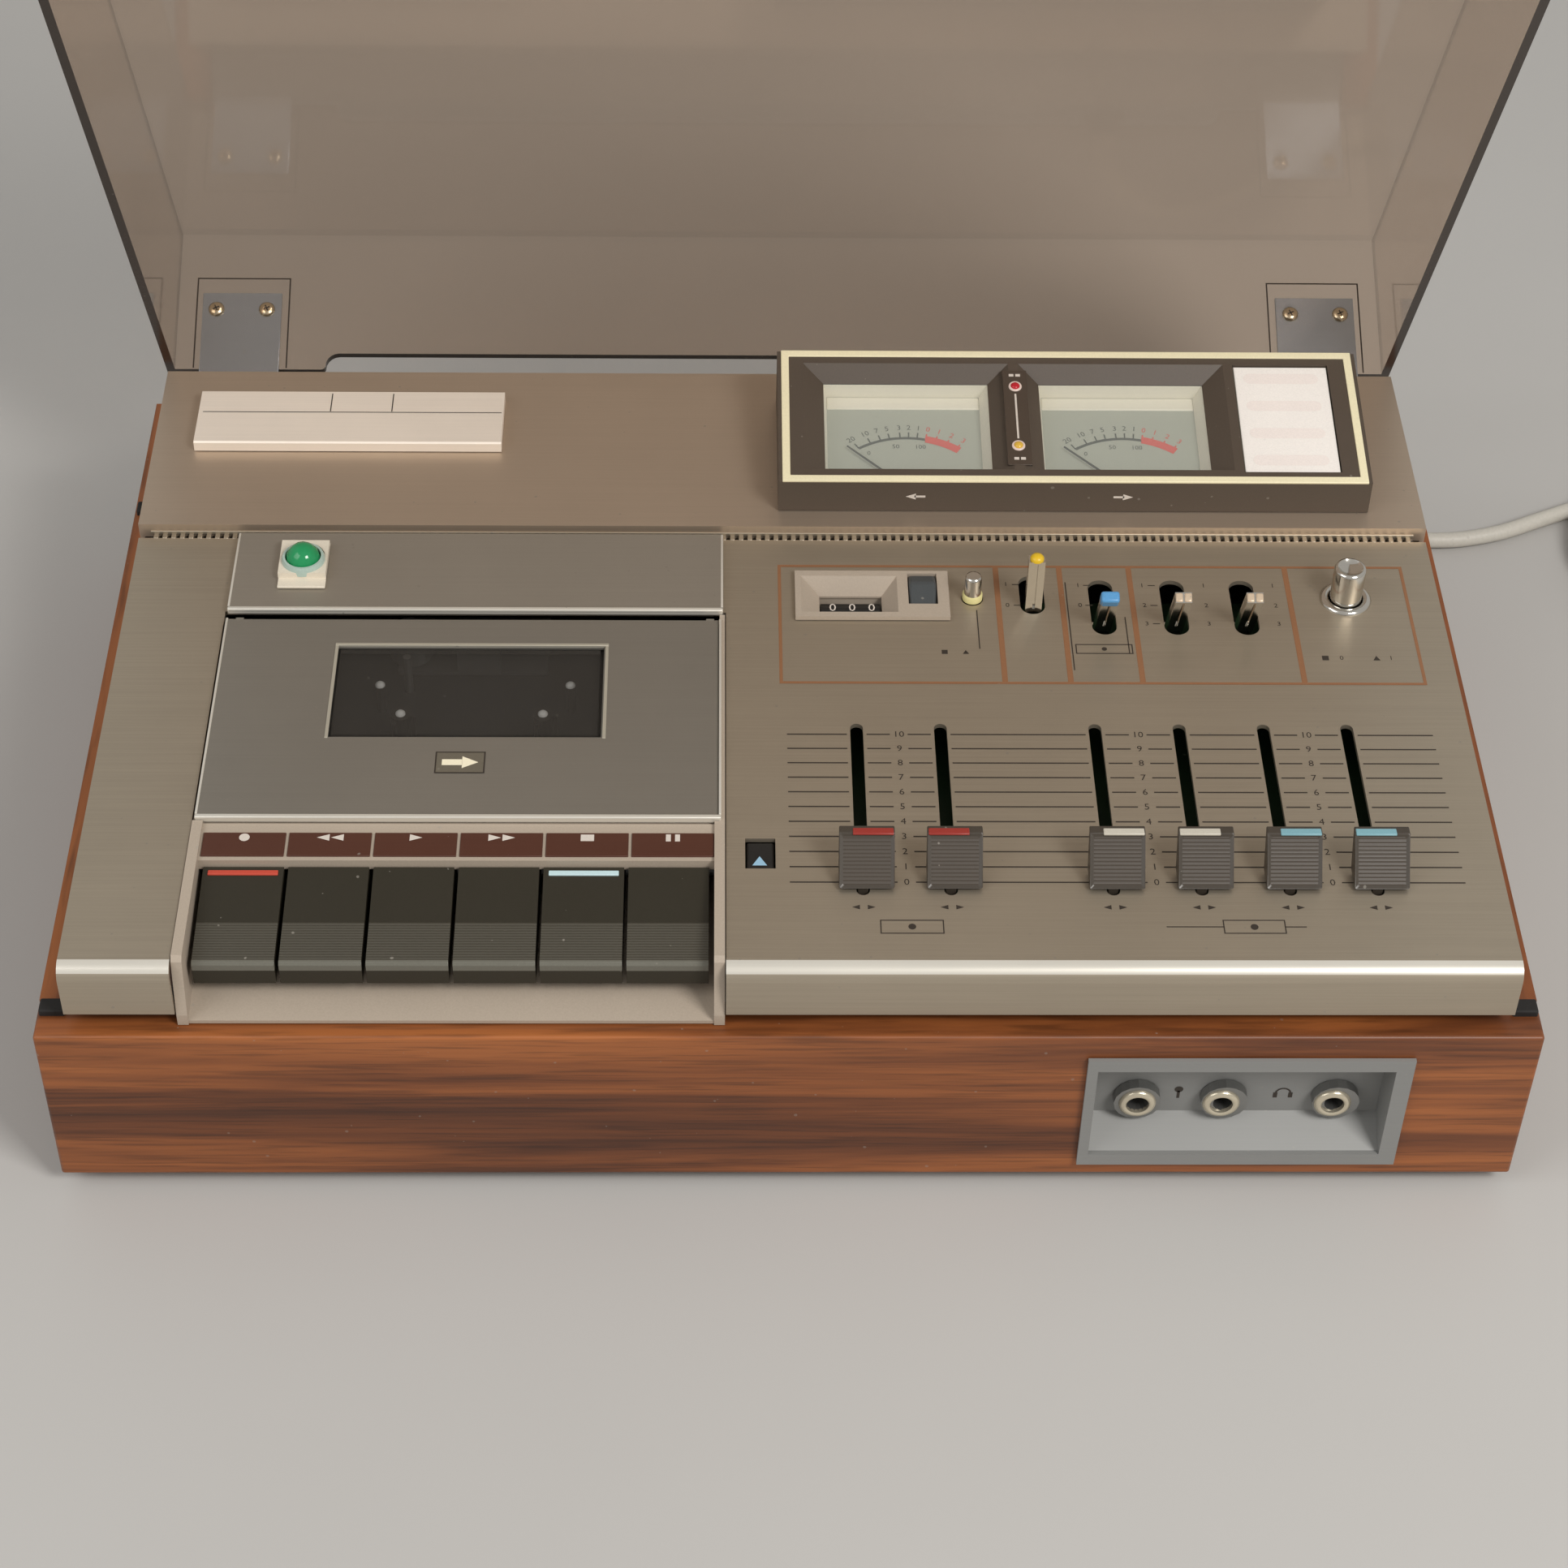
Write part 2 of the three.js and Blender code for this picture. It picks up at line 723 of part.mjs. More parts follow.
// Steel tray: floor, four walls, rear ledge, hinge ears and pins
function trayPiece() {
  const wallTop = panelZ - panelSheet - gap;
  const rearWallTop = rearPanelZ - panelSheet - gap;
  const ledgeFront = trayRear - ledgeDepth;
  const high = rearWallTop + overrun;
  const floor = footHeight + traySheet;
  const outer = block(-trayHalf, trayHalf, trayFront, trayRear, footHeight, rearWallTop);
  const hollow = alongX(
    [
      [trayFront + traySheet, floor],
      [trayRear - traySheet, floor],
      [trayRear - traySheet, ledgeZ - traySheet],
      [ledgeFront + traySheet, ledgeZ - traySheet],
      [ledgeFront + traySheet, high],
      [trayFront + traySheet, high],
    ],
    -trayHalf + traySheet,
    trayHalf - traySheet,
  );
  const wide = trayHalf + overrun;
  const frontLow = trayFront - overrun;
  const frontHigh = trayFront + traySheet + overrun;
  const tools = [
    hollow,
    block(-wide, wide, ledgeFront + traySheet / 2, trayRear + overrun, ledgeZ, high),
    block(-wide, wide, frontLow, rearPanelFront + panelSheet + gap, wallTop, high),
    block(moduleLeft - gap, moduleRight + gap, frontLow, frontHigh, moduleBase, high),
    block(jackWellLeft, jackWellRight, frontLow, frontHigh, jackWellBase, jackWellTop),
    rodY(glandNeck + gap, glandX, trayRear - overrun, trayRear + overrun, glandZ),
  ];
  const parts = [cut(outer, ...tools)];
  for (const side of [-1, 1]) {
    const leafX = side * hingeLeafX;
    const reach = knuckleLength / 2 + knuckleGap;
    for (const end of [-1, 1]) {
      const inner = leafX + end * reach;
      const outerEnd = inner + end * earLength;
      const low = Math.min(inner, outerEnd);
      const top = Math.max(inner, outerEnd);
      const root = trayRear - traySheet / 2;
      parts.push(rodX(knuckleRadius, low, top, hingeY, hingeZ));
      parts.push(block(low, top, root, hingeY, hingeZ - earArm, hingeZ));
    }
    const pinReach = reach + earLength / 2;
    parts.push(rodX(hingePinRadius, leafX - pinReach, leafX + pinReach, hingeY, hingeZ, smallSides));
  }
  return piece('chassis_tray', join(...parts), zincSteel);
}

// Front top panel: a pressed shell with a rounded front edge and all its openings
function panelProfile(inset) {
  const radius = panelRound - inset;
  const points = [];
  for (let i = 0; i <= roundSteps; i += 1) {
    const angle = Math.PI - (i / roundSteps) * (Math.PI / 2);
    const y = panelFront + panelRound + radius * Math.cos(angle);
    const z = panelZ - panelRound + radius * Math.sin(angle);
    points.push([y, z]);
  }
  return points;
}

function frontPanelPiece() {
  const lipZ = rimZ + panelLip;
  const body = alongX(
    [[panelFront, lipZ], ...panelProfile(0), [panelRear, panelZ], [panelRear, lipZ]],
    -panelHalf,
    panelHalf,
  );
  const hollow = alongX(
    [
      [panelFront + panelSheet, lipZ - overrun],
      ...panelProfile(panelSheet),
      [panelRear + overrun, panelZ - panelSheet],
      [panelRear + overrun, lipZ - overrun],
    ],
    -panelHalf + panelSheet,
    panelHalf - panelSheet,
  );
  const low = panelZ - panelSheet - overrun;
  const high = panelZ + overrun;
  const tools = [
    block(moduleLeft - gap, moduleRight + gap, panelFront - overrun, notchRear, lipZ - overrun, high),
    block(
      counterLeft + counterFlange - gap,
      counterLeft + counterWidth - counterFlange + gap,
      counterFront + counterFlange - gap,
      counterFront + counterDepth - counterFlange + gap,
      low,
      high,
    ),
    block(openLeft, openLeft + openWidth, openFront, openFront + openDepth, low, high),
    rodZ(memoryHole, memoryX, memoryY, low, high),
    rodZ(powerHole, powerX, powerY, low, high, fineSides),
    rodZ(jewelStemRadius + gap, jewelX, jewelY, low, high),
  ];
  leverXs.forEach((x, i) => {
    const front = leverPivotY - (i === 0 ? leverShortSlotAhead : leverSlotHalf);
    const rear = leverPivotY + (i === 0 ? leverShortSlotBehind : leverSlotHalf);
    tools.push(alongZ(slotShape(x, front, rear, leverSlotWidth), low, high));
  });
  sliderXs.forEach((x) => {
    tools.push(alongZ(slotShape(x, sliderSlotFront, sliderSlotRear, sliderSlotWidth), low, high));
  });
  return piece('front_top_panel', cut(body, hollow, ...tools), champagne);
}

// Rear top panel: a raised shell, with an opening under the meter housing
function rearPanelPiece() {
  const lipZ = rimZ + panelLip;
  const under = rearPanelZ - panelSheet;
  const hem = ledgeZ + gap;
  const below = hem - overrun;
  const front = rearPanelFront + panelSheet;
  const rear = rearPanelRear - panelSheet;
  const inside = panelHalf - panelSheet;
  const wide = panelHalf + overrun;
  const ahead = rearPanelFront - overrun;
  const behind = rearPanelRear + overrun;
  const tools = [
    block(-inside, inside, front, rear, below, under),
    block(-inside, inside, ahead, front + overrun, below, rearPanelZ - rearPanelNose),
    block(-wide, -trayHalf, ahead, behind, below, lipZ),
    block(trayHalf, wide, ahead, behind, below, lipZ),
    block(
      housingLeft + rearCutInset,
      housingLeft + housingWidth - rearCutInset,
      rearCutFront,
      rearCutFront + rearCutDepth,
      under - overrun,
      rearPanelZ + overrun,
    ),
  ];
  const body = block(-panelHalf, panelHalf, rearPanelFront, rearPanelRear, hem, rearPanelZ);
  return piece('rear_top_panel', cut(body, ...tools), rearChampagne);
}

function badgePiece() {
  const base = rearPanelZ + gap;
  const top = base + badgeThickness;
  const rear = badgeFront + badgeDepth;
  const profile = [
    [badgeFront, base],
    [badgeFront, top - badgeChamfer],
    [badgeFront + badgeChamfer, top],
    [rear, top],
    [rear, base],
  ];
  return piece('badge_plate', alongX(profile, badgeLeft, badgeLeft + badgeWidth), badgeMetal);
}

// The meter housing's own frame: x across, s up the tilted top, d out of it
const tilt = degrees(housingTilt);
const housingEdgeZ = rearPanelZ + housingFrontHeight;

const onSlope = (geometry) =>
  geometry.rotateX(tilt).translate(housingLeft, housingFront, housingEdgeZ);

const slopePoint = (s, d) => [
  housingFront + s * Math.cos(tilt) - d * Math.sin(tilt),
  housingEdgeZ + s * Math.sin(tilt) + d * Math.cos(tilt),
];

// A window with bevelled sides and rear, cut down into the tilted top
function meterFunnel(left) {
  const right = left + meterGlassWidth;
  const rear = meterGlassFront + meterGlassSlope;
  const spread = (housingTop + overrun) / housingTop;
  const rearOut = rear + meterBevelRear * spread;
  const low = -housingTop - overrun;
  const along = alongX(
    [
      [meterGlassFront, low],
      [rear, low],
      [rear, -housingTop],
      [rearOut, overrun],
      [meterGlassFront, overrun],
    ],
    left - meterBevelSide * spread,
    right + meterBevelSide * spread,
  );
  const across = alongY(
    [
      [left, low],
      [right, low],
      [right, -housingTop],
      [right + meterBevelSide * spread, overrun],
      [left - meterBevelSide * spread, overrun],
      [left, -housingTop],
    ],
    meterGlassFront,
    rearOut,
  );
  return onSlope(overlap(along, across));
}

function housingPiece() {
  const base = rearPanelZ + gap;
  const [rearY, rearZ] = slopePoint(housingSlope, 0);
  const right = housingLeft + housingWidth;
  const skin = alongX(
    [
      [housingFront, base],
      [housingFront, housingEdgeZ],
      [rearY, rearZ],
      [rearY + housingSkirt, base],
    ],
    housingLeft - housingLip,
    right + housingLip,
  );
  const [innerFrontY, innerFrontZ] = slopePoint(housingWall, -housingTop);
  const [innerRearY, innerRearZ] = slopePoint(housingSlope - housingWall, -housingTop);
  const hollow = alongX(
    [
      [housingFront + housingWall, base - overrun],
      [innerFrontY, innerFrontZ],
      [innerRearY, innerRearZ],
      [rearY + housingSkirt - housingWall, base - overrun],
    ],
    housingLeft + housingWall,
    right - housingWall,
  );
  const post = onSlope(
    block(
      lampPostX - lampPostWidth / 2 - gap,
      lampPostX + lampPostWidth / 2 + gap,
      lampPostFront - gap,
      lampPostFront + lampPostSlope + gap,
      -housingTop - overrun,
      overrun,
    ),
  );
  const card = onSlope(
    block(
      cardLeft - gap,
      cardLeft + cardWidth + gap,
      cardFront - gap,
      cardFront + cardSlope + gap,
      -housingTop - overrun,
      overrun,
    ),
  );
  const windows = [meterFunnel(meterGlassLeft), meterFunnel(meterGlassLeft + meterSpacing)];
  return piece('meter_housing', cut(skin, hollow, post, card, ...windows), housingPlastic);
}

// Dial panel with both movements below it, the lamp post and the card
function meterPanelPiece() {
  const top = -meterDial;
  const canLow = top - meterCanDepth;
  const sheet = block(
    meterPanelInset,
    housingWidth - meterPanelInset,
    meterPanelInset,
    housingSlope - meterPanelInset,
    top - meterPanelSheet,
    top,
  );
  const cans = [meterGlassLeft, meterGlassLeft + meterSpacing].map((left) =>
    block(
      left + meterCanInset,
      left + meterGlassWidth - meterCanInset,
      meterGlassFront + meterBevelRear,
      meterGlassFront + meterGlassSlope - meterCanInset,
      canLow,
      top,
    ),
  );
  const post = block(
    lampPostX - lampPostWidth / 2,
    lampPostX + lampPostWidth / 2,
    lampPostFront,
    lampPostFront + lampPostSlope,
    top - meterPanelSheet,
    0,
  );
  const card = block(
    cardLeft,
    cardLeft + cardWidth,
    cardFront,
    cardFront + cardSlope,
    top - meterPanelSheet,
    -cardRecess,
  );
  return piece('meter_panel', onSlope(join(sheet, ...cans, post, card)), dialCard);
}

// A needle drawn straight up the dial from its pivot, then leaned to its rest on the left
function needlePiece(name, middle) {
  const blade = outline([
    [-needleWidth / 2, -needleTail],
    [needleWidth / 2, -needleTail],
    [needleWidth / 4, needleLength],
    [-needleWidth / 4, needleLength],
  ]);
  const low = gap + needleStub;
  const pointer = join(
    alongZ(blade, low, low + needleThickness),
    rodZ(needleHub, 0, 0, gap, low + needleThickness / 2, plainSides),
  );
  const needle = piece(name, pointer, needlePaint);
  needle.rotation.z = degrees(needleLean);
  const stand = new THREE.Group();
  const [y, z] = slopePoint(needlePivot, -meterDial);
  stand.position.set(housingLeft + middle, y, z);
  stand.rotation.x = tilt;
  stand.add(needle);
  return stand;
}

// Transport module frame: side walls, pan below the keys, bridge over the key shaft
function moduleFramePiece() {
  const base = rimZ + gap;
  const lowWall = doorBase - gap;
  const wall = [
    [moduleLipFront, base],
    [moduleLipFront, base + moduleLipHeight],
    [moduleWallFront, moduleTop - moduleWallChamfer],
    [moduleWallFront + moduleWallChamfer, moduleTop],
    [moduleRear, moduleTop],
    [moduleRear, moduleBase],
    [moduleHeel, moduleBase],
    [moduleHeel, base],
  ];
  const panFront = moduleLipFront + gap;
  const panBase = base + gap;
  const pan = [
    [panFront, panBase],
    [panFront, panBase + panLip],
    [moduleLipFront + panRun, panTop],
    [wellFront + bridgeSheet / 2, panTop],
    [wellFront + bridgeSheet / 2, panTop - panSheet],
    [moduleLipFront + panRun, panTop - panSheet],
    [moduleHeel - gap, panBase],
  ];
  const bridgeTop = moduleTop - moduleRise - gap;
  const bridgeRear = doorFront - 2 * gap;
  const wellTop = lowWall - gap;
  const bridge = [
    [bridgeFront, bridgeTop - bridgeLip],
    [bridgeFront, bridgeTop],
    [bridgeRear, bridgeTop],
    [bridgeRear, wellTop],
    [wellFront + bridgeSheet, wellTop],
    [wellFront + bridgeSheet, panBase + panLip],
    [wellFront, panBase + panLip],
    [wellFront, bridgeTop - bridgeSheet],
    [bridgeFront + bridgeSheet, bridgeTop - bridgeSheet],
    [bridgeFront + bridgeSheet, bridgeTop - bridgeLip],
  ];
  const body = join(
    alongX(wall, moduleLeft, bayLeft),
    alongX(wall, bayRight, moduleRight),
    alongX(pan, moduleLeft + moduleWall / 2, moduleRight - moduleWall / 2),
    alongX(bridge, moduleLeft + moduleWall / 3, moduleRight - moduleWall / 3),
  );
  const doorRoom = block(
    moduleLeft - overrun,
    moduleRight - ridgeWidth,
    doorFront - gap,
    moduleRear + overrun,
    lowWall,
    moduleTop + overrun,
  );
  const swingRoom = block(
    moduleLeft - overrun,
    moduleRight - ridgeWidth,
    doorHingeY + doorSwingAhead,
    moduleRear + overrun,
    lowWall - doorSwingDrop,
    lowWall + overrun,
  );
  const shaftHole = rodX(
    keyShaftRadius + gap,
    bayLeft - moduleWall * shaftBiteShare,
    bayRight + moduleWall * shaftBiteShare,
    keyShaftY,
    keyShaftZ,
  );
  const doorPinHole = rodX(
    doorPinRadius + gap,
    bayLeft - doorPinLength - gap,
    bayRight + doorPinLength + gap,
    doorHingeY,
    doorHingeZ,
    smallSides,
  );
  return piece('module_frame', cut(body, doorRoom, swingRoom, shaftHole, doorPinHole), beige);
}

// How far the key shaft's holes go into the side walls
const shaftBiteShare = 0.6;

function keyShaftPiece() {
  const bite = moduleWall * shaftBiteShare - gap;
  const shaft = rodX(keyShaftRadius, bayLeft - bite, bayRight + bite, keyShaftY, keyShaftZ);
  return piece('key_shaft', shaft, zincSteel);
}

// One piano key: cap, and an arm that turns on the shaft
function keyPiece(name, index) {
  const row = keyCount * keyWidth + (keyCount - 1) * keyGap;
  const left = (bayLeft + bayRight) / 2 - row / 2 + index * (keyWidth + keyGap);
  const profile = [
    [keyFront, keyBase],
    [keyFront, keyFrontTop],
    [keyFront + keyEdge, keyFrontTop + keyEdge],
    [keyRear, keyRearTop],
    [keyRear, keyArmTop],
    [keyArmEnd, keyArmTop],
    [keyArmEnd, keyArmBase],
    [keyArmStart, keyArmBase],
    [keyArmStart, keyBase],
  ].map(([y, z]) => [y - keyShaftY, z - keyShaftZ]);
  const cap = alongX(profile, 0, keyWidth);
  const bore = rodX(keyShaftRadius + gap, -overrun, keyWidth + overrun, 0, 0);
  return pivoted(name, cut(cap, bore), keyPlastic, left, keyShaftY, keyShaftZ);
}

// Cassette door, about its hinge
function doorPiece() {
  const shape = outline([
    [doorLeft, doorFront],
    [doorRight, doorFront],
    [doorRight, doorRear],
    [doorLeft, doorRear],
  ]);
  const windowRight = windowLeft + windowWidth;
  const windowRear = windowFront + windowDepth;
  shape.holes.push(
    new THREE.Path(
      [
        [windowLeft, windowFront],
        [windowLeft, windowRear],
        [windowRight, windowRear],
        [windowRight, windowFront],
      ].map(([x, y]) => new THREE.Vector2(x, y)),
    ),
  );
  const options = {
    depth: doorThickness - 2 * doorEdge,
    bevelEnabled: true,
    bevelThickness: doorEdge,
    bevelSize: doorEdge,
    bevelOffset: -doorEdge,
    bevelSegments: 1,
  };
  const plate = new THREE.ExtrudeGeometry(shape, options).translate(0, 0, doorBase + doorEdge);
  const parts = [plate];
  for (const side of [-1, 1]) {
    const wall = side < 0 ? bayLeft : bayRight;
    const face = wall - side * gap;
    const inner = face - side * doorLugWidth;
    const tip = wall + side * doorPinLength;
    const low = Math.min(face, inner);
    const high = Math.max(face, inner);
    parts.push(
      block(
        low,
        high,
        doorHingeY - doorLugSize,
        doorHingeY + doorLugSize,
        doorHingeZ - doorLugSize,
        doorBase + doorEdge,
      ),
    );
    const pinLow = Math.min(inner, tip);
    const pinHigh = Math.max(inner, tip);
    parts.push(rodX(doorPinRadius, pinLow, pinHigh, doorHingeY, doorHingeZ, smallSides));
  }
  return piece('cassette_door', join(...parts), doorGrey);
}

function doorWindowPiece() {
  const right = windowLeft + windowWidth;
  const rear = windowFront + windowDepth;
  const flangeTop = doorBase - gap;
  const flange = block(
    windowLeft - paneFlange,
    right + paneFlange,
    windowFront - paneFlange,
    rear + paneFlange,
    flangeTop - paneThickness,
    flangeTop,
  );
  const raised = block(
    windowLeft + gap + doorEdge,
    right - gap - doorEdge,
    windowFront + gap + doorEdge,
    rear - gap - doorEdge,
    flangeTop - paneThickness / 2,
    doorBase + doorThickness - paneRecess,
  );
  return piece('door_window', join(flange, raised), clearPane);
}

// Sprung carrier below the door: two lipped rails and two cross bars
function carrierPiece() {
  const top = doorBase - gap;
  const under = top - carrierSheet;
  const middle = cassetteCentreX;
  const inner = cassetteWidth / 2 + cassetteSlack;
  const outer = inner + carrierSheet;
  const reach = outer + carrierFlange;
  const wide = reach + overrun;
  const front = carrierFront - overrun;
  const rear = carrierRear + overrun;
  const slot = inner - carrierLip;
  const frontBarEnd = carrierFront + carrierFrontBar;
  const rearBarStart = carrierRear - carrierRearBar;
  const lipTop = carrierBase + carrierSheet;
  const low = carrierBase - overrun;
  const tools = [
    block(middle - inner, middle + inner, front, rear, lipTop, under),
    block(middle - slot, middle + slot, front, rear, low, lipTop + overrun),
    block(middle - wide, middle - outer, front, rear, low, under),
    block(middle + outer, middle + wide, front, rear, low, under),
    block(middle - inner, middle + inner, frontBarEnd, rearBarStart, under - overrun, top + overrun),
  ];
  const body = block(middle - reach, middle + reach, carrierFront, carrierRear, carrierBase, top);
  return piece('cassette_carrier', cut(body, ...tools), zincSteel);
}

function hoodPiece() {
  const base = panelZ + gap;
  const top = base + hoodThickness;
  const profile = [
    [hoodFront, base],
    [hoodFront, top - hoodChamfer],
    [hoodFront + hoodChamfer, top],
    [hoodRear, top],
    [hoodRear, base],
  ];
  const body = alongX(profile, moduleLeft + hoodInset, moduleRight - hoodInset);
  const hole = rodZ(jewelStemRadius + gap, jewelX, jewelY, base - overrun, top + overrun);
  return piece('cassette_hood', cut(body, hole), doorGrey);
}

// Jewel lamp: square holder with a round recess, domed lens on its floor, and stem
function jewelPiece() {
  const base = panelZ + gap + hoodThickness + gap;
  const floor = base + jewelFloor;
  const dome = new THREE.LatheGeometry(
    [
      [0, -jewelFloor / 2],
      [jewelRadius, -jewelFloor / 2],
      [jewelRadius, jewelDome / 3],
      [jewelRadius * domeShoulderShare, (jewelDome * 2) / 3],
      [jewelRadius * domeCrownShare, jewelDome],
      [0, jewelDome],
    ].map(([r, z]) => new THREE.Vector2(r, z)),
    plainSides,
  );
  dome.rotateX(Math.PI / 2).translate(jewelX, jewelY, floor);
  const holder = block(
    jewelX - jewelHolderWidth / 2,
    jewelX + jewelHolderWidth / 2,
    jewelY - jewelHolderDepth / 2,
    jewelY + jewelHolderDepth / 2,
    base,
    base + jewelHolderHeight,
  );
  const recess = rodZ(jewelRecess, jewelX, jewelY, floor, floor + overrun, fineSides);
  const stem = rodZ(jewelStemRadius, jewelX, jewelY, base - jewelStem, base + jewelFloor / 2);
  return piece('jewel_lamp', join(cut(holder, recess), dome, stem), jewelGreen);
}

// The jewel's shoulder and crown, as shares of its radius
const domeShoulderShare = 0.85;
const domeCrownShare = 0.45;

function transportPlatePiece() {
  const base = plateTop - plateThickness;
  const sheet = block(bayLeft + gap, bayRight - gap, plateFront, plateRear, base, plateTop);
  const holes = spindleXs.map((x) =>
    rodZ(spindleShaftRadius + gap, x, spindleY, base - overrun, plateTop + overrun),
  );
  holes.push(
    rodZ(capstanRadius + gap, capstanX, capstanY, base - overrun, plateTop + overrun, smallSides),
  );
  const pins = [-1, 1].map((side) => {
    const x = cassetteCentreX + (side * pinSpacing) / 2;
    return rodZ(pinRadius, x, pinY, plateTop - plateThickness / 2, pinTop, smallSides);
  });
  return piece('transport_plate', join(cut(sheet, ...holes), ...pins), zincSteel);
}

// A drive spindle about its own axis: reel disc, hub with fins and shaft
function spindlePiece(name, x) {
  const discBase = plateTop + gap;
  const discMiddle = discBase + spindleDiscHeight / 2;
  const parts = [
    rodZ(spindleDiscRadius, 0, 0, discBase, discBase + spindleDiscHeight, fineSides),
    rodZ(spindleRadius, 0, 0, discMiddle, spindleTop, plainSides),
    rodZ(spindleShaftRadius, 0, 0, spindleShaftBase, discMiddle + spindleDiscHeight),
  ];
  const finReach = spindleRadius + spindleFin;
  const finTop = spindleTop - spindleFin;
  for (let i = 0; i < spindleFinCount; i += 1) {
    const fin = block(0, finReach, -spindleFin / 2, spindleFin / 2, discMiddle, finTop);
    parts.push(fin.rotateZ((i * 2 * Math.PI) / spindleFinCount));
  }
  return pivoted(name, join(...parts), blackPlastic, x, spindleY, 0);
}

function flywheelPiece() {
  const top = flywheelBase + flywheelHeight;
  const points = [
    [0, flywheelBase],
    [flywheelRadius, flywheelBase],
    [flywheelRadius, flywheelBase + flywheelHeight / 3],
    [flywheelRadius - flywheelGroove, flywheelBase + flywheelHeight / 2],
    [flywheelRadius, top - flywheelHeight / 3],
    [flywheelRadius, top],
    [0, top],
  ].map(([r, z]) => new THREE.Vector2(r, z));
  const wheel = new THREE.LatheGeometry(points, fineSides).rotateX(Math.PI / 2);
  const capstan = rodZ(capstanRadius, 0, 0, top - flywheelHeight / 2, capstanTop, smallSides);
  return pivoted('capstan_flywheel', join(wheel, capstan), zincSteel, capstanX, capstanY, 0);
}

function motorPiece() {
  const top = plateTop - plateThickness - gap;
  const can = rodZ(motorRadius, motorX, motorY, top - motorHeight, top, fineSides);
  const bossBase = top - motorHeight - motorBossHeight;
  const boss = rodZ(motorBossRadius, motorX, motorY, bossBase, top - motorHeight / 2);
  return piece('motor', join(can, boss), zincSteel);
}

// Head slide: base plate, head block and pinch roller on its post
function headSlidePiece() {
  const base = plateTop + gap;
  const top = base + slideSheet;
  const left = capstanX - rollerArmRadius - slideSheet;
  const sheet = block(left, left + slideWidth, slideFront, slideRear, base, top);
  const head = block(
    cassetteCentreX - headWidth / 2,
    cassetteCentreX + headWidth / 2,
    headFront,
    headFront + headDepth,
    base + slideSheet / 2,
    headTop,
  );
  const post = rodZ(rollerArmRadius, capstanX, rollerY, base + slideSheet / 2, rollerBase + slideSheet);
  const roller = rodZ(rollerRadius, capstanX, rollerY, rollerBase, rollerTop);
  return piece('head_slide', join(sheet, head, post, roller), zincSteel);
}

// Counter bezel: flange, body, bevelled digit window and reset slot
function counterBezelPiece() {
  const right = counterLeft + counterWidth;
  const rear = counterFront + counterDepth;
  const flangeBase = panelZ + gap;
  const top = flangeBase + counterRise;
  const body = join(
    block(counterLeft, right, counterFront, rear, flangeBase, top),
    block(
      counterLeft + counterFlange,
      right - counterFlange,
      counterFront + counterFlange,
      rear - counterFlange,
      counterBase,
      top - counterRise / 2,
    ),
  );
  const digitRight = digitLeft + digitWidth;
  const digitRear = digitFront + digitDepth;
  const floor = panelZ - digitSink;
  const depth = top - floor;
  const spread = (depth + overrun) / depth;
  const along = alongX(
    [
      [digitFront, floor],
      [digitRear, floor],
      [digitRear + bevelRear * spread, top + overrun],
      [digitFront, top + overrun],
    ],
    counterLeft,
    right,
  );
  const across = alongY(
    [
      [digitLeft, floor],
      [digitRight, floor],
      [digitRight + bevelRight * spread, top + overrun],
      [digitLeft - bevelLeft * spread, top + overrun],
    ],
    counterFront,
    rear,
  );
  const drumRoom = drumRadius + gap;
  const tools = [
    overlap(along, across),
    block(digitLeft, digitRight, digitFront, digitRear, floor - overrun, floor + overrun),
    block(
      digitLeft - drumSideGap,
      digitRight + drumSideGap,
      drumY - drumRoom,
      drumY + drumRoom,
      counterBase - overrun,
      floor - digitFloor,
    ),
    rodX(
      drumShaftRadius + gap,
      (digitLeft + digitRight) / 2 - drumShaftLength / 2 - gap,
      (digitLeft + digitRight) / 2 + drumShaftLength / 2 + gap,
      drumY,
      floor - digitFloor - drumRoom,
      smallSides,
    ),
    block(
      resetLeft - gap,
      resetLeft + resetWidth + gap,
      resetFront - gap,
      resetFront + resetDepth + gap,
      counterBase - overrun,
      top + overrun,
    ),
  ];
  return piece('counter_bezel', cut(body, ...tools), beige);
}

// Digit drum, about its own axis
function counterDrumPiece() {
  const middle = digitLeft + digitWidth / 2;
  const z = panelZ - digitSink - digitFloor - drumRadius - gap;
  const half = digitWidth / 2 - drumSideGap;
  const drum = join(
    rodX(drumRadius, -half, half, 0, 0, fineSides),
    rodX(drumShaftRadius, -drumShaftLength / 2, drumShaftLength / 2, 0, 0, smallSides),
  );
  return pivoted('counter_drum', drum, blackPlastic, middle, drumY, z);
}

function resetButtonPiece() {
  const top = panelZ + resetRise;
  const rear = resetFront + resetDepth;
  const ridge = resetFront + resetDepth * ridgeShare;
  const profile = [
    [resetFront, counterBase],
    [resetFront, panelZ + gap],
    [ridge, top],
    [rear, panelZ + counterRise],
    [rear, counterBase],
  ];
  const button = alongX(profile, resetLeft, resetLeft + resetWidth);
  return piece('counter_reset_button', button, blackPlastic);
}

// Where the reset button's ridge lies, as a share of its depth
const ridgeShare = 0.6;

function roundButtonPiece(name, x, y, radius, rise) {
  const top = panelZ + rise;
  return piece(name, rodZ(radius, x, y, buttonFoot, top, fineSides), chrome);
}

function openButtonPiece() {
  const button = block(
    openLeft + gap,
    openLeft + openWidth - gap,
    openFront + gap,
    openFront + openDepth - gap,
    buttonFoot,
    panelZ - openSink,
  );
  return piece('open_button', button, blackPlastic);
}

